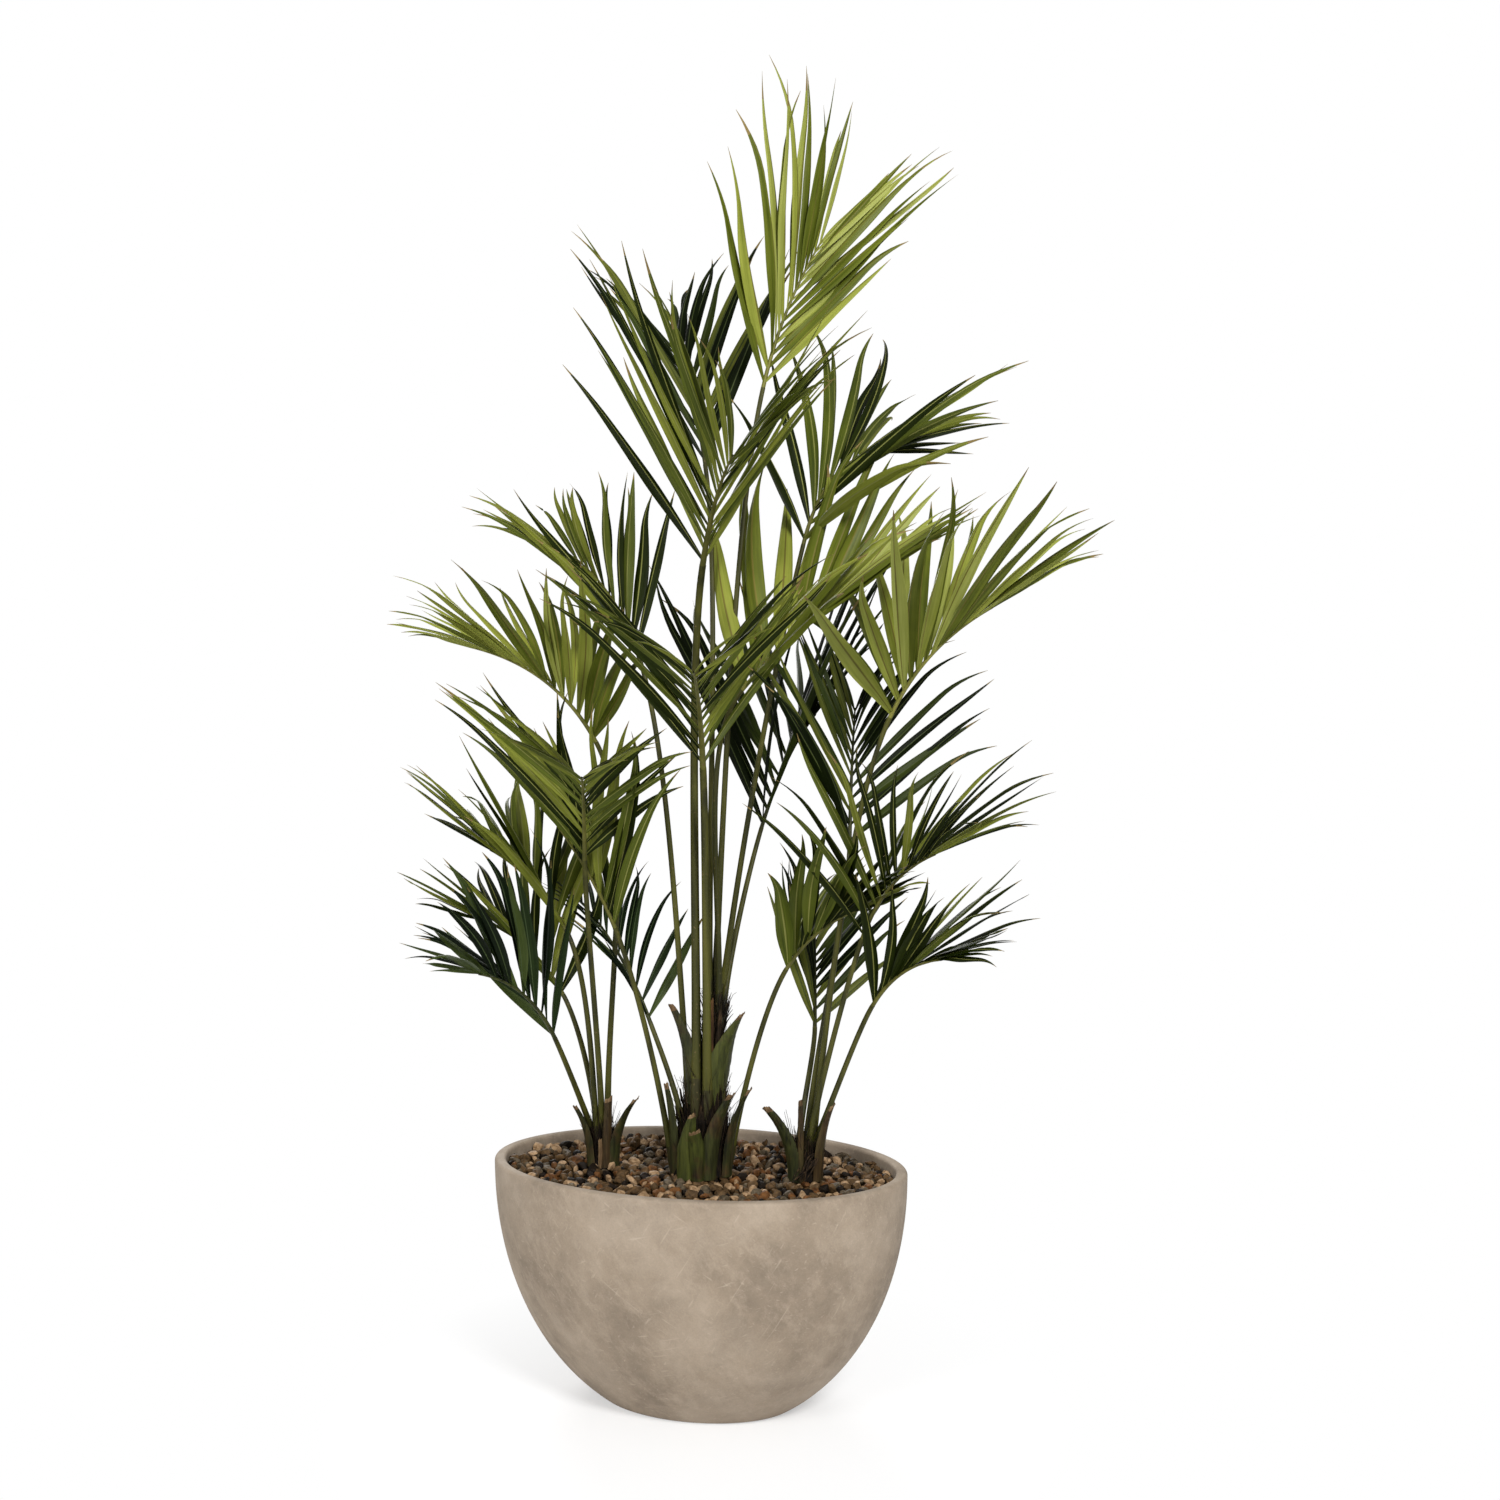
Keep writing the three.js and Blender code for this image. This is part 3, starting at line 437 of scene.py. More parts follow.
def pot_paint():
    """Concrete: soft warm grey clouds with finer mottling, faint short scratches and pores."""
    paint = Paint("pot_concrete", 0.82)
    clouds = paint.noise(6.5, detail=6, roughness=0.6, distortion=0.15)
    tone = paint.ramp(clouds, [(0.36, (129, 115, 99)), (0.5, (144, 129, 111)), (0.64, (155, 140, 122))])
    blots = paint.noise(15, detail=9, roughness=0.72, at=paint.stretched((1.0, 1.0, 0.7), tilt=40))
    mottle = paint.ramp(blots, [(0.36, 0.55), (0.5, 0.84), (0.62, 1)])
    tone = paint.blend(0.45, tone, mottle, "MULTIPLY")
    wiped = paint.noise(42, detail=8, roughness=0.75, at=paint.stretched((1.0, 1.0, 0.45), tilt=-35))
    tone = paint.blend(paint.ramp(wiped, [(0.48, 0), (0.68, 0.5)]), tone, (166, 151, 133))
    grain = paint.ramp(paint.noise(420, detail=2), [(0.35, 0.5), (0.65, 1)])
    tone = paint.blend(0.16, tone, grain, "MULTIPLY")
    for tilt in (32, -55, 75):
        strokes = paint.noise(240, detail=1, at=paint.stretched((1.0, 1.0, 0.035), tilt=tilt))
        tone = paint.blend(paint.ramp(strokes, [(0.68, 0), (0.8, 0.25)]), tone, (186, 172, 155))
    pores = paint.noise(160, detail=4, roughness=0.7)
    normal = paint.bump(pores, 0.18, 0.0008, paint.bump(clouds, 0.2, 0.003))
    return paint.finished(tone, normal, paint.ramp(clouds, [(0.3, 1), (0.7, 0.7)]))


def pebble_paint(name, low, high):
    """Pebble: mottled stone with a dull polish."""
    paint = Paint(name, 0.62, 0.12)
    marks = paint.noise(120, detail=5, roughness=0.65, distortion=0.5)
    fine = paint.ramp(paint.noise(700, detail=2), [(0.35, 0.5), (0.6, 1)])
    tone = paint.ramp(marks, [(0.32, low), (0.68, high)])
    return paint.finished(paint.blend(0.25, tone, fine, "MULTIPLY"), paint.bump(marks, 0.4, 0.0012))


DRY_TIP = leaf_paint("leaf_dry_tip", (92, 78, 42), (136, 118, 74), 0.7)
# The materials of a frond by its tone: three for leaflets from light to dark, then the one for their
# dry tips, the rib's and the one for their midribs. Which set a frond has, and how dark its leaflets
# are within it, is partly the leaves' own green and partly painted light and shade.
LEAF_PAINTS = {
    "light": [
        leaf_paint("leaf_lime", (118, 124, 50), (143, 148, 75)),
        leaf_paint("leaf_light", (103, 110, 37), (132, 137, 57)),
        leaf_paint("leaf_soft", (58, 66, 11), (91, 98, 29)),
        DRY_TIP,
        stalk_paint("rib_light", (86, 86, 34), (116, 114, 50)),
        leaf_paint("vein_light", (80, 76, 28), (106, 100, 44)),
    ],
    "mid": [
        leaf_paint("leaf_olive", (82, 89, 25), (113, 118, 43)),
        leaf_paint("leaf_mid", (49, 58, 11), (78, 86, 25)),
        leaf_paint("leaf_deep", (10, 17, 1), (31, 39, 5), shine=0.06),
        DRY_TIP,
        stalk_paint("rib_mid", (66, 66, 24), (92, 90, 38)),
        leaf_paint("vein_mid", (96, 99, 46), (126, 127, 68)),
    ],
    "dark": [
        leaf_paint("leaf_shade", (62, 68, 20), (95, 99, 37)),
        leaf_paint("leaf_dark", (26, 35, 6), (50, 60, 17), shine=0.08),
        leaf_paint("leaf_night", (6, 11, 1), (16, 24, 3), shine=0.06),
        DRY_TIP,
        stalk_paint("rib_dark", (36, 38, 15), (58, 60, 25)),
        leaf_paint("vein_dark", (44, 53, 24), (66, 75, 38)),
    ],
    "blue": [
        leaf_paint("leaf_blue_soft", (42, 54, 18), (63, 75, 32)),
        leaf_paint("leaf_blue", (15, 27, 8), (32, 46, 18), shine=0.08),
        leaf_paint("leaf_blue_deep", (6, 14, 4), (17, 28, 10), shine=0.06),
        DRY_TIP,
        stalk_paint("rib_blue", (40, 44, 20), (62, 66, 30)),
        leaf_paint("vein_blue", (48, 61, 36), (70, 83, 52)),
    ],
}
STALK_PAINT = stalk_paint("stalk_skin", (36, 37, 9), (71, 70, 23))
STALK_FOOT_PAINT = stalk_paint("stalk_foot", (24, 24, 10), (54, 51, 22))
BARK = bark_paint("stem_bark", (5, 4, 2), (20, 14, 8), (58, 43, 26))
SHEATH_PAINTS = {
    "fresh": sheath_paint("sheath_fresh", (30, 34, 10), (66, 70, 26), 0.2),
    "dull": sheath_paint("sheath_dull", (21, 23, 9), (53, 55, 24), 0.3),
    "dry": sheath_paint("sheath_dry", (26, 22, 10), (70, 60, 32), 0.7),
}
SHEATH_CUT = bark_paint("sheath_cut", (62, 46, 30), (112, 89, 62), (158, 134, 102))
HUSK = bark_paint("husk_brown", (12, 9, 5), (36, 27, 16), (82, 63, 41))
FIBRE = bark_paint("fibre_brown", (11, 8, 5), (33, 24, 15), (82, 63, 41))
STRIP = bark_paint("strip_russet", (40, 26, 14), (74, 52, 29), (106, 79, 48))
POT_PAINT = pot_paint()


# Fronds: the rib, and the leaflets by the source's rule, more of them and finer.

def frond_of(name):
    """A frond's row by its fields, with the point towards which its rib bends."""
    frond = dict(zip(FIELDS, FRONDS[name]))
    throat, tip = vec(*frond["throat"]), vec(*frond["tip"])
    along = unit(tip - throat)
    above = unit(UP - along * (UP @ along))
    return {**frond, "throat": throat, "bend": (throat + tip) / 2 + above * 2 * frond["arch"], "tip": tip}


def rib_frame(frond, place):
    """A point of the rib and its own directions there: onward, across to the right, and upper."""
    throat, bend, tip = frond["throat"], frond["bend"], frond["tip"]
    along = unit(2 * (1 - place) * (bend - throat) + 2 * place * (tip - bend))
    across = turned(unit(np.cross(along, UP)), along, math.radians(frond["roll"]))
    return curve(throat, bend, tip, place), along, across, np.cross(across, along)


# A leaflet is a grid of points: rows from its base to its tip and places across it, from edge to
# edge, with a low pleat at some of them.
LEAF_ROWS = 21
LEAF_PLACES = np.array((-1, -0.7, -0.38, -0.1, 0.1, 0.38, 0.7, 1))
LEAF_PLEATS = np.array((0, 0.1, -0.04, 0.05, 0.05, -0.04, 0.1, 0))
LEAF_COLS = len(LEAF_PLACES)
BASE_WIDTH = 0.24
TIP_WIDTH = 0.03
WIDEST = 0.38
TAPER = 1.6
FOLD = 24
EDGE_FALL = 0.12
RIPPLE = 0.06
RIPPLE_WAVES = 2.3
HOOK_FROM = 0.72
HOOK_FALL = 0.03
FIRST_PLACE = 0.03
PLACE_SPAN = 0.94
PLACE_POWER = 0.9
# How far each value of a leaflet is scattered: degrees for spread, rise, louvre, twist and fold, and
# otherwise shares of the value or of the leaflet's length.
SCATTER = {
    "spread": 5, "rise": 9, "length": 0.13, "width": 0.18, "droop": 0.5, "bow": 0.05, "hook_aside": 0.075,
    "hook_fall": 0.06, "louvre": 16, "twist": 40, "fold": 8, "ripple": 1, "tint": 1, "dryness": 1,
}
USES = {kind: number for number, kind in enumerate(SCATTER, 1)}
# Where the tint of a leaflet goes from the frond's light tone to its middle one and to its dark one.
TINT_EDGES = (-0.27, 0.34)
DRYNESS_EDGE = 0.7
# The numbers of a frond's materials after its three tones.
DRY, RIB, VEIN = 3, 4, 5
RIB_STEPS = 24
RIB_SIDES = 8
RIB_SLIMMER = 0.92


def blade_width(s):
    """A lance: narrow at its base, widest under the middle, drawn out to a thread."""
    if s < WIDEST:
        return BASE_WIDTH + (1 - BASE_WIDTH) * math.sin(s / WIDEST * math.pi / 2)
    return 1 - (1 - TIP_WIDTH) * ((s - WIDEST) / (1 - WIDEST)) ** TAPER


def length_share(share):
    """How long the leaflets are along the rib: longest before its middle and half as long at its end."""
    return 0.95 + 0.4 * share - 0.85 * share * share


def leaflet(name, frond, row, pair, pairs, side):
    """One leaflet's points, UVs, tint and dryness."""
    share = pair / (pairs - 1)
    number = pair * 2 + (1 if side > 0 else 0)

    def scatter(kind):
        return SCATTER[kind] * wobble(row, number, USES[kind])

    place = FIRST_PLACE + PLACE_SPAN * share**PLACE_POWER
    point, along, across, upper = rib_frame(frond, place)
    *adds, louvre, narrow, painted_shade = SIDES.get((name, side), PLAIN_SIDE)
    more_spread, more_rise, kept = (float(np.interp(share, (0, 0.5, 1), add)) for add in adds)
    spread = math.radians(mix(*frond["spread"], share) + more_spread + scatter("spread"))
    rise = math.radians(mix(*frond["rise"], share) + more_rise + scatter("rise"))
    outward = side * math.cos(rise) * across + math.sin(rise) * upper
    leaving = math.cos(spread) * along + math.sin(spread) * outward
    length = frond["length"] * length_share(share) * kept * (1 + scatter("length"))
    half = 0.5 * LEAFLET_WIDTH * narrow * mix(1, LAST_WIDTH, share) * (1 + scatter("width"))

    # The midrib: straight out, then drooping and bowed, with a hook at its end.
    s = np.linspace(0, 1, LEAF_ROWS)[:, None]
    falling = -UP + leaving * (UP @ leaving)
    aside = unit(np.cross(leaving, falling) + 1e-6)
    droop = frond["droop"] * (1 + scatter("droop"))
    hook = np.clip((s - HOOK_FROM) / (1 - HOOK_FROM), 0, 1) ** 2
    line = point + length * s * leaving + length * droop * s * s * falling
    line = line + length * (scatter("bow") * np.sin(math.pi * s) + scatter("hook_aside") * hook) * aside
    line = line + length * (HOOK_FALL + scatter("hook_fall")) * hook * falling

    # The way that the blade faces all along it.
    heading = units(np.gradient(line, axis=0))
    flat = units(along - heading * (heading @ along)[:, None])
    over = np.cross(heading, flat) * side
    angle = np.radians(louvre + scatter("louvre") + scatter("twist") * s**2)
    wide = flat * np.cos(angle) - over * np.sin(angle)
    ridge = np.cross(heading, wide) * side

    # The blade across it: folded at the midrib, pleated, with falling and rippled edges.
    width = np.array([blade_width(v) for v in s[:, 0]])[:, None, None] * half
    t = LEAF_PLACES[None, :, None]
    fold = math.radians(FOLD + scatter("fold"))
    pleat = LEAF_PLEATS[None, :, None]
    arch = np.sin(math.pi * s)[:, :, None]
    height = (1 - np.abs(t)) * math.sin(fold) + pleat - EDGE_FALL * t * t * arch
    ripple = RIPPLE * np.sin(2 * math.pi * (RIPPLE_WAVES * s[:, :, None] + scatter("ripple"))) * t
    points = line[:, None, :] + wide[:, None, :] * t * width * math.cos(fold)
    points = points + ridge[:, None, :] * (height + ripple) * width
    uv = np.stack(np.broadcast_arrays(t[:, :, 0] * 0.5 + 0.5 + number, s[:, :1] * length / 100), 2)
    # The tint: a made-up number plus the side's painted shade, or painted light below zero.
    tint = scatter("tint") + mix(*painted_shade, share)
    return points.reshape(-1, 3), uv.reshape(-1, 2), tint, scatter("dryness")


def make_leaves(name, row):
    """A frond's leaflets and its rib as one piece."""
    frond = frond_of(name)
    pairs = round(frond["pairs"] * PAIR_GAIN) + MORE_PAIRS.get(name, 0)
    heap = Heap()
    faces = grid_faces(LEAF_ROWS, LEAF_COLS)
    row_of_face = np.repeat(np.arange(LEAF_ROWS - 1), LEAF_COLS - 1)
    col_of_face = np.tile(np.arange(LEAF_COLS - 1), LEAF_ROWS - 1)
    for pair in range(pairs):
        for side in (-1, 1):
            points, uv, tint, dryness = leaflet(name, frond, row, pair, pairs, side)
            tone = sum(tint >= edge for edge in TINT_EDGES)
            kinds = np.where(col_of_face == LEAF_COLS // 2 - 1, VEIN, tone)
            dry_rows = 1 if dryness < DRYNESS_EDGE else 2
            heap.add(points, faces, np.where(row_of_face >= LEAF_ROWS - 1 - dry_rows, DRY, kinds), uv)
    places = np.linspace(0, 1, RIB_STEPS)
    line = curve(frond["throat"], frond["bend"], frond["tip"], places[:, None])
    base_radius = STALK_THROAT_RADIUS * STOUT.get(name, 1) * RIB_SLIMMER
    heap.add_tube(line, mix(base_radius, RIB_TIP_RADIUS, places), RIB_SIDES, RIB)
    tone = frond["tone"]
    heap.piece("leaves_" + name, LEAF_PAINTS[tone], "leaf_" + tone, ["frond_" + name])


# Stalks.

def stem_axis(stem, height):
    return vec(*stem["at"], GRAVEL_TOP + CLEAR) + vec(*stem["lean"], 1) * height


def stalk_points(name, steps):
    frond = frond_of(name)
    stem = STEMS[name.split("_")[0]]
    _, arriving, _, _ = rib_frame(frond, 0)
    angle, radius, height = frond["foot"]
    foot = stem_axis(stem, height + CLEAR) + radius * level_way(math.radians(angle))
    throat = frond["throat"]
    reach = np.linalg.norm(throat - foot)
    straight = (throat - foot) / reach
    leaving = unit(mix(straight, UP, STEEP.get(name, STALK_STEEP)))
    one = foot + leaving * 0.35 * reach
    two = throat - arriving * 0.22 * reach
    t = np.linspace(0, 1, steps)[:, None]
    return (1 - t) ** 3 * foot + 3 * t * (1 - t) ** 2 * one + 3 * t * t * (1 - t) * two + t**3 * throat


STALK_STEPS = 40
STALK_SIDES = 12
STALK_GROOVE = 0.16
FOOT_SWELL = 0.4
FOOT_SWELL_SPAN = 0.08
FOOT_SLIMMER = 0.9
DARK_STEPS = 3
DEEPEST_FOOT = 8


def make_stalk(name):
    """A grooved stalk that swells and darkens at its foot and goes on into the stem."""
    points = stalk_points(name, STALK_STEPS)
    t = np.linspace(0, 1, STALK_STEPS)
    swell = 1 + FOOT_SWELL * np.exp(-t / FOOT_SWELL_SPAN)
    radii = mix(STALK_FOOT_RADIUS, STALK_THROAT_RADIUS, t) * STOUT.get(name, 1) * swell
    sunk = points[0] - unit(points[1] - points[0]) * FOOT_DEPTH
    sunk[2] = max(sunk[2], GRAVEL_TOP - DEEPEST_FOOT)
    line = np.vstack((sunk, points))
    radii = np.append(radii[0] * FOOT_SLIMMER, radii)
    dark = np.where(np.repeat(np.arange(STALK_STEPS), STALK_SIDES) < DARK_STEPS, 1, 0)
    heap = Heap()
    heap.add_tube(line, radii, STALK_SIDES, dark, STALK_GROOVE, vec(0, -0.6, 0.8))
    heap.piece("stalk_tube_" + name, [STALK_PAINT, STALK_FOOT_PAINT], "stalk", ["stalk_" + name])


# Stems, sheaths and fibres.

def stem_radius(stem, height):
    """The stem's radius, with a slope in place of the solid's square shoulder."""
    levels = [level for level, _ in stem["radii"]]
    radii = [radius for _, radius in stem["radii"]]
    around = [float(np.interp(height + step, levels, radii)) for step in (-16, -8, 0, 8, 16)]
    return sum(around) / len(around)


STEM_ROWS = 60
STEM_SIDES = 48
SCAR_PITCH = 26
SCAR_DEPTH = 1.2
RIB_DEPTH = 0.9
STEM_INSET = 1.2


def make_stem(side):
    """The stem's fibrous column, with shallow upright ribs and the edges of old leaf bases."""
    stem = STEMS[side]
    top = stem["radii"][-1][0]
    rng = np.random.default_rng(len(side) * 7 + 3)
    phases = rng.uniform(0, 2 * math.pi, 6)
    points = []
    for h in np.linspace(0, top, STEM_ROWS):
        centre = stem_axis(stem, h)
        base = stem_radius(stem, h)
        step = (h / SCAR_PITCH) % 1.0
        level = math.floor(h / SCAR_PITCH)
        for k in range(STEM_SIDES):
            a = 2 * math.pi * k / STEM_SIDES
            ribs = 0.6 * math.sin(11 * a + phases[0] + h * 0.05)
            ribs += 0.4 * math.sin(23 * a + phases[1] - h * 0.08)
            edge = SCAR_DEPTH * (1 - step) * (0.5 + 0.5 * math.sin(2 * a + phases[2] + level * 2.1))
            r = base - STEM_INSET + RIB_DEPTH * ribs + edge
            points.append(centre + vec(r * math.cos(a), r * math.sin(a), 0))
    ring = len(points) - STEM_SIDES
    peak = len(points)
    points.append(stem_axis(stem, top + 2))
    heap = Heap()
    heap.add(points, grid_faces(STEM_ROWS, STEM_SIDES, around=True))
    heap.close([(ring + k, ring + (k + 1) % STEM_SIDES, peak) for k in range(STEM_SIDES)])
    heap.piece("stem_bark_" + side, [BARK], "stem", ["stem_" + side])


def sheet_grid(rows, cols):
    """For each point of a sheet: its row and column, and how far up (0 to 1) and across (-1 to 1)."""
    for i in range(rows):
        for k in range(cols):
            yield i, k, i / (rows - 1), 2 * k / (cols - 1) - 1


SHEATH_ROWS = 26
SHEATH_COLS = 11
SHEATH_BROADEST = 0.4
CUT_ROWS = 2


def sheath_width(up, low, broad, end):
    """How wide a sheath is at a share of its height."""
    if up < SHEATH_BROADEST:
        return mix(low, broad, math.sin(up / SHEATH_BROADEST * math.pi / 2))
    return mix(broad, end, ((up - SHEATH_BROADEST) / (1 - SHEATH_BROADEST)) ** 1.25)


def make_sheath(piece_name, sheath, seed, replaced=()):
    """A curved plate with a thin edge, which rises along the stem, leans out and ends in a cut."""
    facing, base, tip, widths, skin = sheath
    base, tip = vec(*base), vec(*tip)
    out = level_way(math.radians(facing))
    aside = np.cross(UP, out)
    bend = vec(base[0], base[1], mix(base[2], tip[2], 0.6))
    rows, cols = SHEATH_ROWS, SHEATH_COLS
    outer, inner = [], []
    for i, k, up, swing in sheet_grid(rows, cols):
        centre = curve(base, bend, tip, up) + UP * (GRAVEL_TOP + CLEAR)
        half = 0.5 * sheath_width(up, *widths) * (1 + 0.04 * wobble(seed, i, 1))
        ragged = 1.6 * wobble(seed, k, 2) if i == rows - 1 else 0
        p = centre + aside * half * swing - out * (0.45 * half * swing * swing)
        p = p + UP * (0.35 * half * swing * up + ragged)
        ridge = 0.35 * math.cos(3 * math.pi * swing)
        thick = SHEATH_THICKNESS * (1 - 0.75 * swing**4) * (1 - 0.35 * up)
        outer.append(p + out * (thick + ridge))
        inner.append(p + out * 0.1)
    heap = Heap()
    faces = grid_faces(rows, cols)
    cut = np.where(np.repeat(np.arange(rows - 1), cols - 1) >= rows - 1 - CUT_ROWS, 1, 0)
    heap.add(outer, faces, cut)
    heap.add(inner, faces[:, ::-1], cut)
    count = rows * cols
    rim = [r * cols for r in range(rows)]
    rim += [(rows - 1) * cols + k for k in range(1, cols)]
    rim += [r * cols + cols - 1 for r in range(rows - 2, -1, -1)]
    heap.close([(a, b, b + count, a + count) for a, b in zip(rim, rim[1:])], 1)
    heap.piece(piece_name, [SHEATH_PAINTS[skin], SHEATH_CUT], "sheath", replaced)


# Rings of husks: the stem, how many, the lowest and the highest foot on it, and the tallest one.
HUSK_RINGS = [
    ("centre", 15, 20, 72, 60),
    ("centre", 15, 74, 100, 50),
    ("centre", 9, 108, 160, 70),
    ("left", 8, 2, 24, 50),
    ("right", 8, 2, 26, 48),
]
HUSK_GRID = 9
HUSK_THICKNESS = 0.7


def add_sheet(heap, points, rows, away, which):
    """Rows of points as a sheet with two sides, the second one moved away from the first."""
    faces = grid_faces(rows, len(points) // rows)
    heap.add(points, faces, which)
    heap.add(np.array(points) + away, faces[:, ::-1], which)


def make_husks():
    """Ragged brown leftovers of old sheaths, wrapped round the stems between the green ones."""
    rng = np.random.default_rng(17)
    heap = Heap()
    rows = cols = HUSK_GRID
    for side, number, low, high, tall in HUSK_RINGS:
        stem = STEMS[side]
        for index in range(number):
            h = rng.uniform(low, high)
            out = level_way(2 * math.pi * (index + rng.uniform(-0.3, 0.3)) / number)
            aside = np.cross(UP, out)
            foot = stem_axis(stem, h) + out * (stem_radius(stem, h) - 3.0)
            length = tall * rng.uniform(0.55, 1.0)
            wide = rng.uniform(6, 11)
            lean = rng.uniform(0.02, 0.16)
            ragged = rng.uniform(-1, 1, cols)
            sheet = []
            for _, k, up, swing in sheet_grid(rows, cols):
                half = wide * (1 - 0.55 * up**1.5)
                rise = up * length * (1 + 0.22 * ragged[k] * up) - 0.2 * length * up * swing * swing
                outward = lean * length * up * up + 0.5 * math.sin(9 * swing)
                p = foot + aside * half * swing - out * (0.5 * half * swing * swing)
                sheet.append(p + UP * rise + out * outward)
            add_sheet(heap, sheet, rows, -out * HUSK_THICKNESS, index % 2)
    heap.piece("stem_husks", [BARK, HUSK], "stem")


# Strips: the low and the high end from the gravel's top, half the width and the material's number.
STRIPS = [
    ((21, -35, 160), (23, -37, 262), 3.4, 0),
    ((29, -30, 170), (35, -27, 246), 4.5, 1),
    ((-146, 13, -2), (-147, 9, 44), 4.0, 2),
]
STRIP_THICKNESS = 1.0


def make_strips():
    """Single dry strips: two among the centre stalks and a cut stub before the left stem."""
    heap = Heap()
    rows, cols = 14, 7
    out = vec(0, -1, 0)
    for low, high, half, kind in STRIPS:
        low, high = vec(*low), vec(*high)
        sheet = []
        for i, k, up, swing in sheet_grid(rows, cols):
            middle = mix(low, high, up) + UP * (GRAVEL_TOP + CLEAR) + out * math.sin(2.5 * up)
            wide = half * (1 - 0.35 * up) * (1 + 0.08 * wobble(i, k, 5))
            ragged = 2.5 * wobble(k, kind, 6) * up
            sheet.append(middle + vec(wide * swing, 0.4 * half * swing * swing, ragged))
        add_sheet(heap, sheet, rows, -out * STRIP_THICKNESS, kind)
    heap.piece("stem_strips", [STRIP, HUSK, SHEATH_CUT], "stem")


# Frayed threads: the stem, how many, and the lowest and the highest foot on it.
FRAYED = [
    ("centre", 330, 101, 246),
    ("centre", 300, 20, 104),
    ("left", 140, 6, 42),
    ("right", 140, 6, 42),
]
TUFT_THREADS = 26
ROOT_THREADS = 9
CURL_THREADS = 9
HIGHEST_FIBRE = 270


def add_thread(heap, line, thick, thin, sides, which=0):
    """A thread along a line of points, from one radius to another and up to the highest fibre."""
    line[:, 2] = np.minimum(line[:, 2], GRAVEL_TOP + HIGHEST_FIBRE)
    radii = mix(thick, thin, np.linspace(0, 1, len(line)))
    heap.add_tube(line, radii, sides, which, upper=vec(1, 0.3, 0))


def add_frayed(heap, rng):
    """Loose threads that stand off the stems where old sheaths have frayed."""
    t = np.linspace(0, 1, 7)[:, None]
    for side, number, low, high in FRAYED:
        stem = STEMS[side]
        for _ in range(number):
            h = rng.uniform(low, high)
            out = level_way(rng.uniform(0, 2 * math.pi))
            start = stem_axis(stem, h) + out * (stem_radius(stem, h) - 1.5)
            length = rng.uniform(14, 58)
            lean = rng.uniform(0.02, 0.3)
            curl = rng.normal(0, 0.16, 3)
            line = start + t * length * (UP + out * lean) + t * t * length * curl
            add_thread(heap, line, rng.uniform(0.4, 1.1), 0.25, 4)


def add_tuft(heap, rng):
    """The stiff dark fibres at the top of the centre stem, on its right."""
    t = np.linspace(0, 1, 7)[:, None]
    for _ in range(TUFT_THREADS):
        out = level_way(math.radians(rng.uniform(250, 380)))
        start = stem_axis(STEMS["centre"], rng.uniform(170, 232)) + out * 13
        line = start + t * rng.uniform(26, 50) * (UP + out * rng.uniform(0.1, 0.4))
        line = line + t * t * rng.normal(0, 3, 3)
        add_thread(heap, line, 1.7, 0.3, 5, 1)


def add_roots(heap, rng):
    """Thin roots that lean from the right stem down on to the gravel."""
    t = np.linspace(0, 1, 9)[:, None]
    swell = np.sin(math.pi * t)
    for index in range(ROOT_THREADS):
        start = vec(176 + (2 * index) % 7, -50 - index, GRAVEL_TOP + 34 + 2 * (index % 4))
        stop = vec(140 + 6 * (index % 4), -78 - 3 * (index % 5), GRAVEL_TOP + 7)
        line = mix(start, stop, t) + swell * rng.normal(0, 3, 3) + UP * 6 * swell
        add_thread(heap, line, 1.7, 0.8, 5)


def add_curls(heap, rng):
    """Fine threads that curl off the right stem."""
    t = np.linspace(0, 1, 11)[:, None]
    for index in range(CURL_THREADS):
        start = vec(180, -58, GRAVEL_TOP + 40 + 2 * index)
        reach = rng.uniform(4, 17)
        fall = rng.uniform(10, 30)
        line = start + t * reach * vec(1, -0.2, 0.5) - UP * fall * t * t
        line = line + np.sin(5 * t) * rng.normal(0, 2, 3)
        add_thread(heap, line, 0.6, 0.3, 4)


def make_fibres():
    """All loose threads on the stems as one piece."""
    rng = np.random.default_rng(41)
    heap = Heap()
    add_frayed(heap, rng)
    add_tuft(heap, rng)
    add_roots(heap, rng)
    add_curls(heap, rng)
    heap.piece("stem_fibres", [FIBRE, BARK], "stem")


# Pot and gravel.

def bowl_share(height):
    down = (POT_HEIGHT - height) / BOWL_DEPTH
    return (1 - down**BOWL_ROUNDNESS) ** (1 / BOWL_ROUNDNESS)


def oval(length, depth, z, sides):
    """A level ring of points with these half length and half depth."""
    angles = [2 * math.pi * k / sides for k in range(sides)]
    return [(length * math.cos(a), depth * math.sin(a), z) for a in angles]


POT_SIDES = 160
FOOT_RINGS = 6
FOOT_BEVEL = 0.012
WALL_RINGS = 64
RIM_STEPS = 6
SEEN_DEPTH = 60


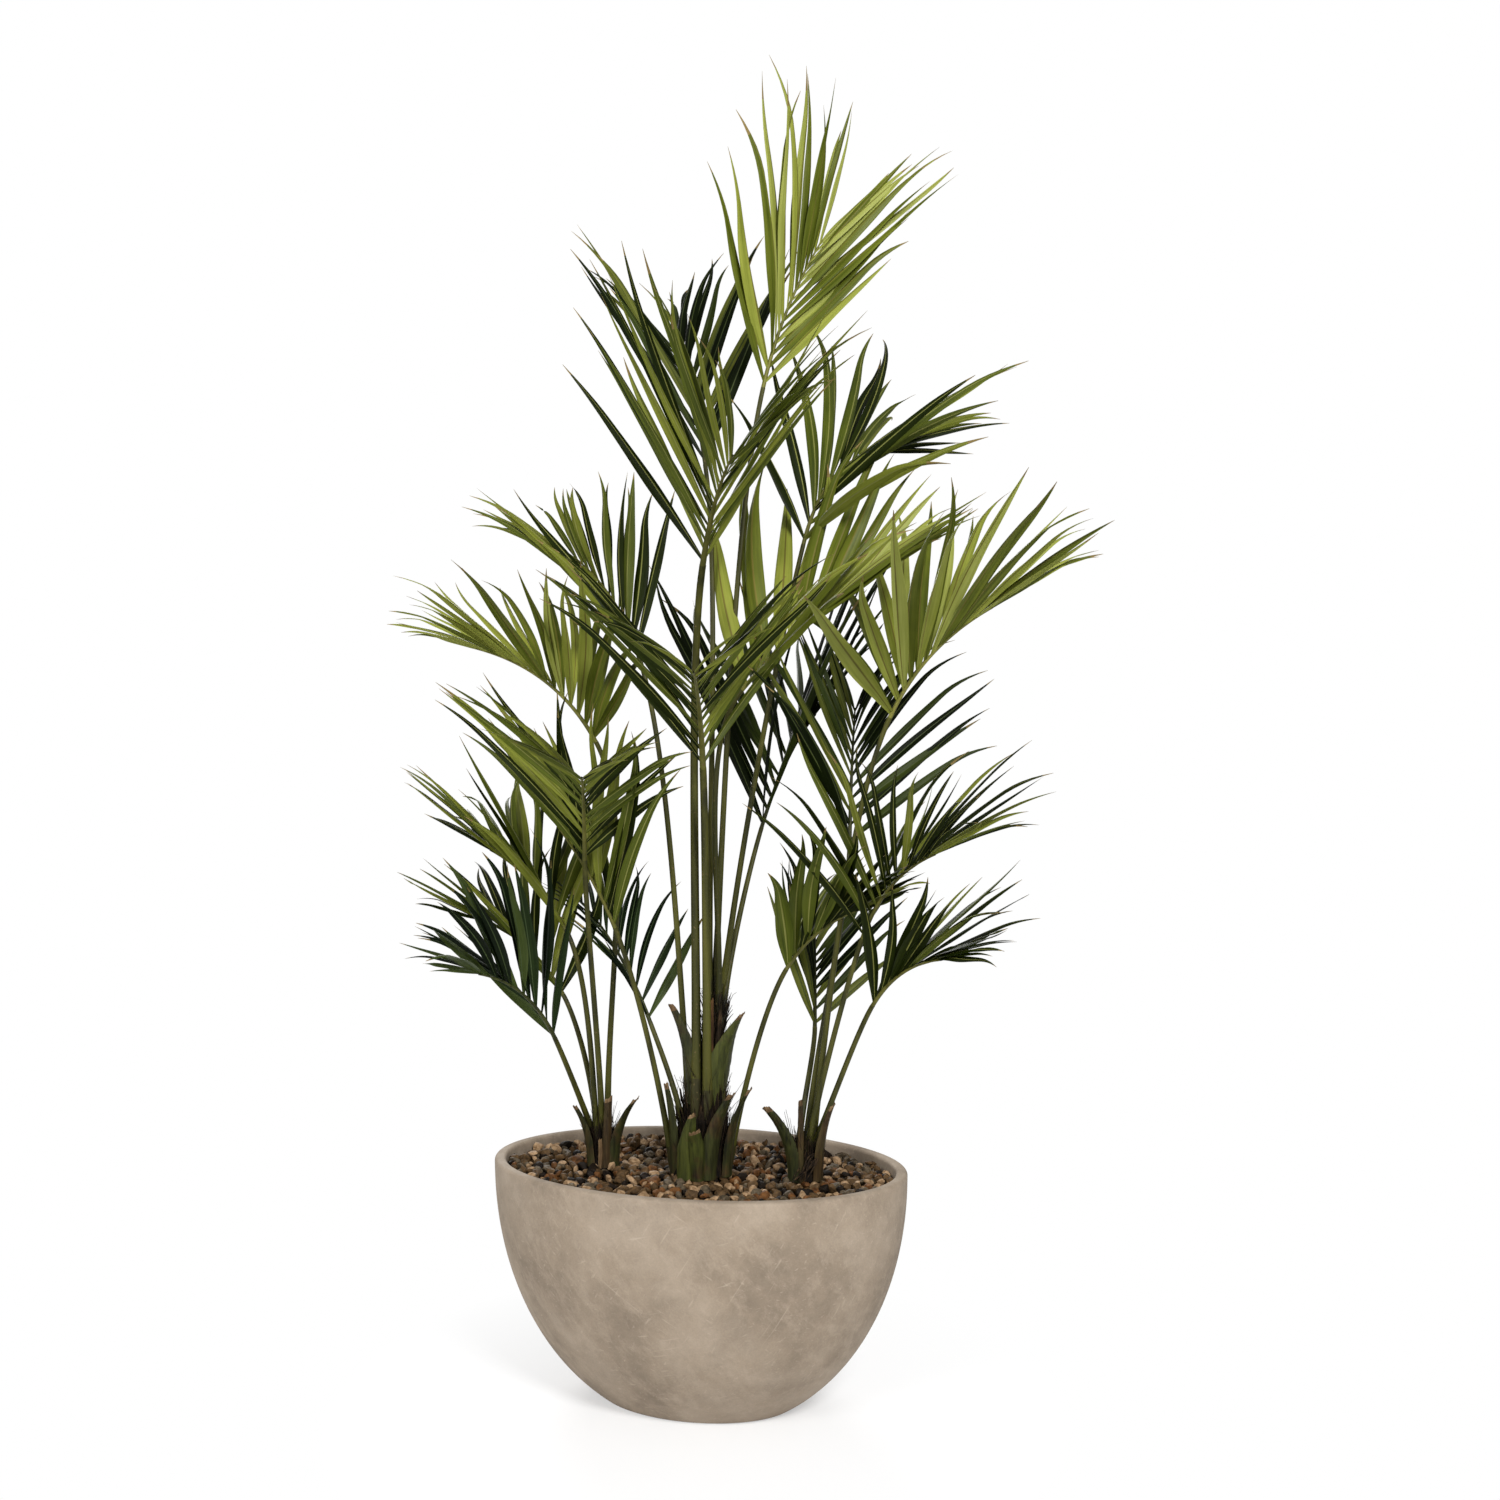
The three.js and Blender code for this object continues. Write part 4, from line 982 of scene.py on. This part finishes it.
def pot_profile():
    """The pot's section: a share of the oval, a height, and how far it lies outside that oval."""
    profile = [(0.0, 0.0, 0.0)]
    for i in range(1, FOOT_RINGS + 1):
        bevel = FOOT_BEVEL if i == FOOT_RINGS else 0
        profile.append((bowl_share(0) * i / FOOT_RINGS - bevel, 0.0, 0.0))
    shoulder = POT_HEIGHT - RIM_RADIUS
    for z in [1.2, 3.5, *np.linspace(8, shoulder, WALL_RINGS)]:
        profile.append((bowl_share(z), z, 0.0))
    angles = [i / RIM_STEPS * math.pi / 2 for i in range(RIM_STEPS + 1)]
    for a in angles[1:]:
        profile.append((1.0, shoulder + RIM_RADIUS * math.sin(a), -RIM_RADIUS * (1 - math.cos(a))))
    for a in angles:
        drop = RIM_RADIUS * (1 - math.cos(a))
        profile.append((1.0, POT_HEIGHT - drop, -WALL + RIM_RADIUS * (1 - math.sin(a))))
    for z in np.linspace(shoulder - 6, POT_HEIGHT - SEEN_DEPTH, 8):
        profile.append((bowl_share(z), z, -WALL))
    profile.append((0.0, POT_HEIGHT - SEEN_DEPTH, 0.0))
    return profile


def make_pot():
    """The bowl's outside, its rounded rim and its inside down to under the gravel."""
    profile = pot_profile()
    points = []
    for share, z, outset in profile:
        points += oval(POT_LENGTH / 2 * share + outset, POT_DEPTH / 2 * share + outset, z, POT_SIDES)
    heap = Heap()
    heap.add(points, grid_faces(len(profile), POT_SIDES, around=True))
    pot = heap.piece("pot_bowl", [POT_PAINT], "pot", ["pot"], plant=False)
    work = bmesh.new()
    work.from_mesh(pot.data)
    bmesh.ops.remove_doubles(work, verts=work.verts, dist=1e-6)
    bmesh.ops.dissolve_degenerate(work, edges=work.edges, dist=1e-7)
    bmesh.ops.recalc_face_normals(work, faces=work.faces)
    work.to_mesh(pot.data)
    work.free()


# Kinds of pebble: the share of all, and the darker and the lighter tone.
PEBBLES = [
    ("tan", 0.2, (100, 74, 46), (180, 150, 116)),
    ("brown", 0.34, (40, 28, 14), (102, 78, 50)),
    ("rust", 0.12, (54, 33, 14), (118, 78, 42)),
    ("grey", 0.17, (40, 33, 23), (106, 92, 72)),
    ("dark", 0.17, (9, 6, 4), (33, 24, 15)),
]
PEBBLE_PITCH = 14.5
PEBBLE_SHAPES = 24


def pebble_shapes(rng):
    """Rounded stones with a few flats, from a ball whose points are held under some planes."""
    work = bmesh.new()
    bmesh.ops.create_icosphere(work, subdivisions=2, radius=1)
    ball = np.array([v.co for v in work.verts])
    faces = np.array([[v.index for v in f.verts] for f in work.faces])
    work.free()
    shapes = []
    for _ in range(PEBBLE_SHAPES):
        planes = units(rng.normal(size=(11, 3)))
        depth = rng.uniform(0.55, 0.88, 11)
        facing = ball @ planes.T
        reach = np.where(facing > 1e-3, depth / np.maximum(facing, 1e-3), 9)
        shapes.append(ball * np.minimum(reach.min(1), 1.0)[:, None])
    return shapes, faces


# Layers of pebbles, the lower one first: the pitch and the size as factors, and the depth under the top.
PEBBLE_LAYERS = [(0.95, 0.9, 14.5), (1.08, 1, 3.5)]
ROW_PITCH = 0.87
PLACE_SCATTER = 0.32
# Half the length and half the depth of the gravel's oval, and how far under its top the dark sheet
# of painted shade lies.
BED_LENGTH = POT_LENGTH / 2 - WALL - 1
BED_WIDTH = POT_DEPTH / 2 - WALL - 1
BED_DEPTH = 13
BED_SIDES = 96
BED_RINGS = 12


def random_turn(rng):
    """Any way round, and tipped a little."""
    turn = Matrix.Rotation(rng.uniform(0, 6.3), 3, "Z") @ Matrix.Rotation(rng.normal(0, 0.6), 3, "X")
    return np.array(turn @ Matrix.Rotation(rng.normal(0, 0.6), 3, "Y"))


def make_pebbles():
    """Loose pebbles in rows inside the oval, one piece to each kind."""
    rng = np.random.default_rng(5)
    shapes, faces = pebble_shapes(rng)
    heaps = [Heap() for _ in PEBBLES]
    shares = np.array([share for _, share, _, _ in PEBBLES])
    for pitch_factor, size_factor, down in PEBBLE_LAYERS:
        pitch = PEBBLE_PITCH * pitch_factor
        for i in range(int(2 * BED_LENGTH / pitch) + 2):
            for j in range(int(2 * BED_WIDTH / (pitch * ROW_PITCH)) + 2):
                aside, away = rng.uniform(-PLACE_SCATTER, PLACE_SCATTER, 2)
                x = -BED_LENGTH + pitch * (i + 0.5 * (j % 2) + aside)
                y = -BED_WIDTH + pitch * ROW_PITCH * (j + away)
                size = rng.uniform(6.4, 12.4) * size_factor
                edge = math.hypot(x / (BED_LENGTH - size * 0.45), y / (BED_WIDTH - size * 0.45))
                if edge > 1:
                    continue
                kind = rng.choice(len(PEBBLES), p=shares)
                scale = size * rng.uniform((0.9, 0.65, 0.5), (1.25, 0.95, 0.75))
                turn = random_turn(rng)
                swell = 1.6 * math.sin(x * 0.03 + y * 0.05) + 4 * edge**4
                z = GRAVEL_TOP - down + rng.uniform(-3.0, 3.4) + swell
                shape = shapes[rng.integers(len(shapes))] * scale
                heaps[kind].add(shape @ turn.T + vec(x, y, z), faces)
    for heap, (name, _, low, high) in zip(heaps, PEBBLES):
        paint = pebble_paint("pebble_" + name, low, high)
        heap.piece("pebbles_" + name, [paint], "gravel", ["gravel"], plant=False, smooth=False)


def make_bed():
    """A dark sheet under the pebbles: painted shade that shows in the gaps between them."""
    rings = []
    for share in np.linspace(0, 1, BED_RINGS):
        rings += oval(BED_LENGTH * share, BED_WIDTH * share, GRAVEL_TOP - BED_DEPTH, BED_SIDES)
    heap = Heap()
    heap.add(rings, grid_faces(BED_RINGS, BED_SIDES, around=True))
    # Near-black colour of the sheet: painted shade for the gaps between the pebbles.
    gap_shade_paint = pebble_paint("gravel_gap_shade", (12, 9, 6), (28, 20, 13))
    heap.piece("gravel_bed", [gap_shade_paint], "gravel", plant=False)


# Floor, lights and camera.

# Discs of light: place in millimetres, diameter in metres and power in watts.
LIGHTS = {
    "key": ((1300, -3000, 3000), 1.2, 150),
    "fill": ((-2200, -2700, 2200), 1.6, 70),
    "back": ((-900, 3400, 2400), 2.8, 100),
}
LIT_POINT = Vector((0, 0, 1.0))
SKY_STRENGTH = 0.32
CAMERA_PLACE = (79, -2250, 966)
FLOOR_RADIUS = 40
# How far from the pot's middle, in metres, the floor begins to glow more and where it is as white as
# the background, and the share that it glows nearer than that.
FADE_FROM = 0.16
FADE_TO = 0.55
LEAST_GLOW = 0.45


def floor_paint():
    """White floor that fades into the white background away from the pot."""
    paint = Paint("floor_white", 0.9)
    paint.shader.inputs["Base Color"].default_value = (0.9, 0.9, 0.9, 1)
    tree = paint.tree
    far = add_node(tree, "VectorMath", {0: paint.places["Object"]}, "Value", operation="LENGTH")
    fading = {"Value": far, "From Min": FADE_FROM, "From Max": FADE_TO, "To Min": LEAST_GLOW}
    seen = add_node(tree, "LightPath", {}, "Is Camera Ray")
    share = add_node(tree, "Math", {0: add_node(tree, "MapRange", fading), 1: seen}, operation="MULTIPLY")
    shaders = {0: share, 1: paint.shader.outputs[0], 2: add_node(tree, "Emission", {})}
    tree.links.new(add_node(tree, "MixShader", shaders), tree.nodes["Material Output"].inputs["Surface"])
    return paint.material


def make_floor():
    bpy.ops.mesh.primitive_circle_add(
        vertices=96, radius=FLOOR_RADIUS, fill_type="NGON", location=(0, 0, -0.0005))
    floor = bpy.context.object
    floor.name = "floor"
    floor.data.materials.append(floor_paint())


def make_sky():
    """A dim even light from all round, which the camera sees as white."""
    world = bpy.data.worlds.new("studio")
    world.use_nodes = True
    tree = world.node_tree
    dim = tree.nodes["Background"]
    dim.inputs["Color"].default_value = (1, 1, 1, 1)
    dim.inputs["Strength"].default_value = SKY_STRENGTH
    seen = add_node(tree, "LightPath", {}, "Is Camera Ray")
    shaders = {0: seen, 1: dim.outputs[0], 2: add_node(tree, "Background", {"Color": (1, 1, 1, 1)})}
    tree.links.new(add_node(tree, "MixShader", shaders), tree.nodes["World Output"].inputs["Surface"])
    bpy.context.scene.world = world


def make_light(name, place, size, power):
    light = bpy.data.lights.new(name, "AREA")
    light.shape = "DISK"
    light.size = size
    light.energy = power
    lamp = new_object(name, light)
    lamp.location = to_metres([place])[0]
    lamp.rotation_mode = "QUATERNION"
    lamp.rotation_quaternion = (LIT_POINT - lamp.location).to_track_quat("-Z", "Y")


def make_camera():
    camera = bpy.data.cameras.new("camera")
    camera.sensor_width = 36
    camera.lens = 36
    camera.clip_end = 200
    eye = new_object("camera", camera)
    eye.location = to_metres([CAMERA_PLACE])[0]
    eye.rotation_euler = (math.pi / 2, 0, TURN)
    bpy.context.scene.camera = eye
    bpy.context.scene.view_settings.view_transform = "Standard"


make_floor()
make_sky()
for light_name, light_row in LIGHTS.items():
    make_light(light_name, *light_row)
make_camera()
make_pot()
make_pebbles()
make_bed()
for side_name in STEMS:
    make_stem(side_name)
for number, sheath_row in enumerate(SHEATHS, 1):
    make_sheath(f"sheath_plate_{number}", sheath_row, number, [f"sheath_{number}"])
make_sheath("sheath_plate_front", FRONT_SHEATH, 31)
make_husks()
make_strips()
make_fibres()
for index, frond_name in enumerate(FRONDS):
    make_stalk(frond_name)
    make_leaves(frond_name, SEEDS.get(frond_name, index))
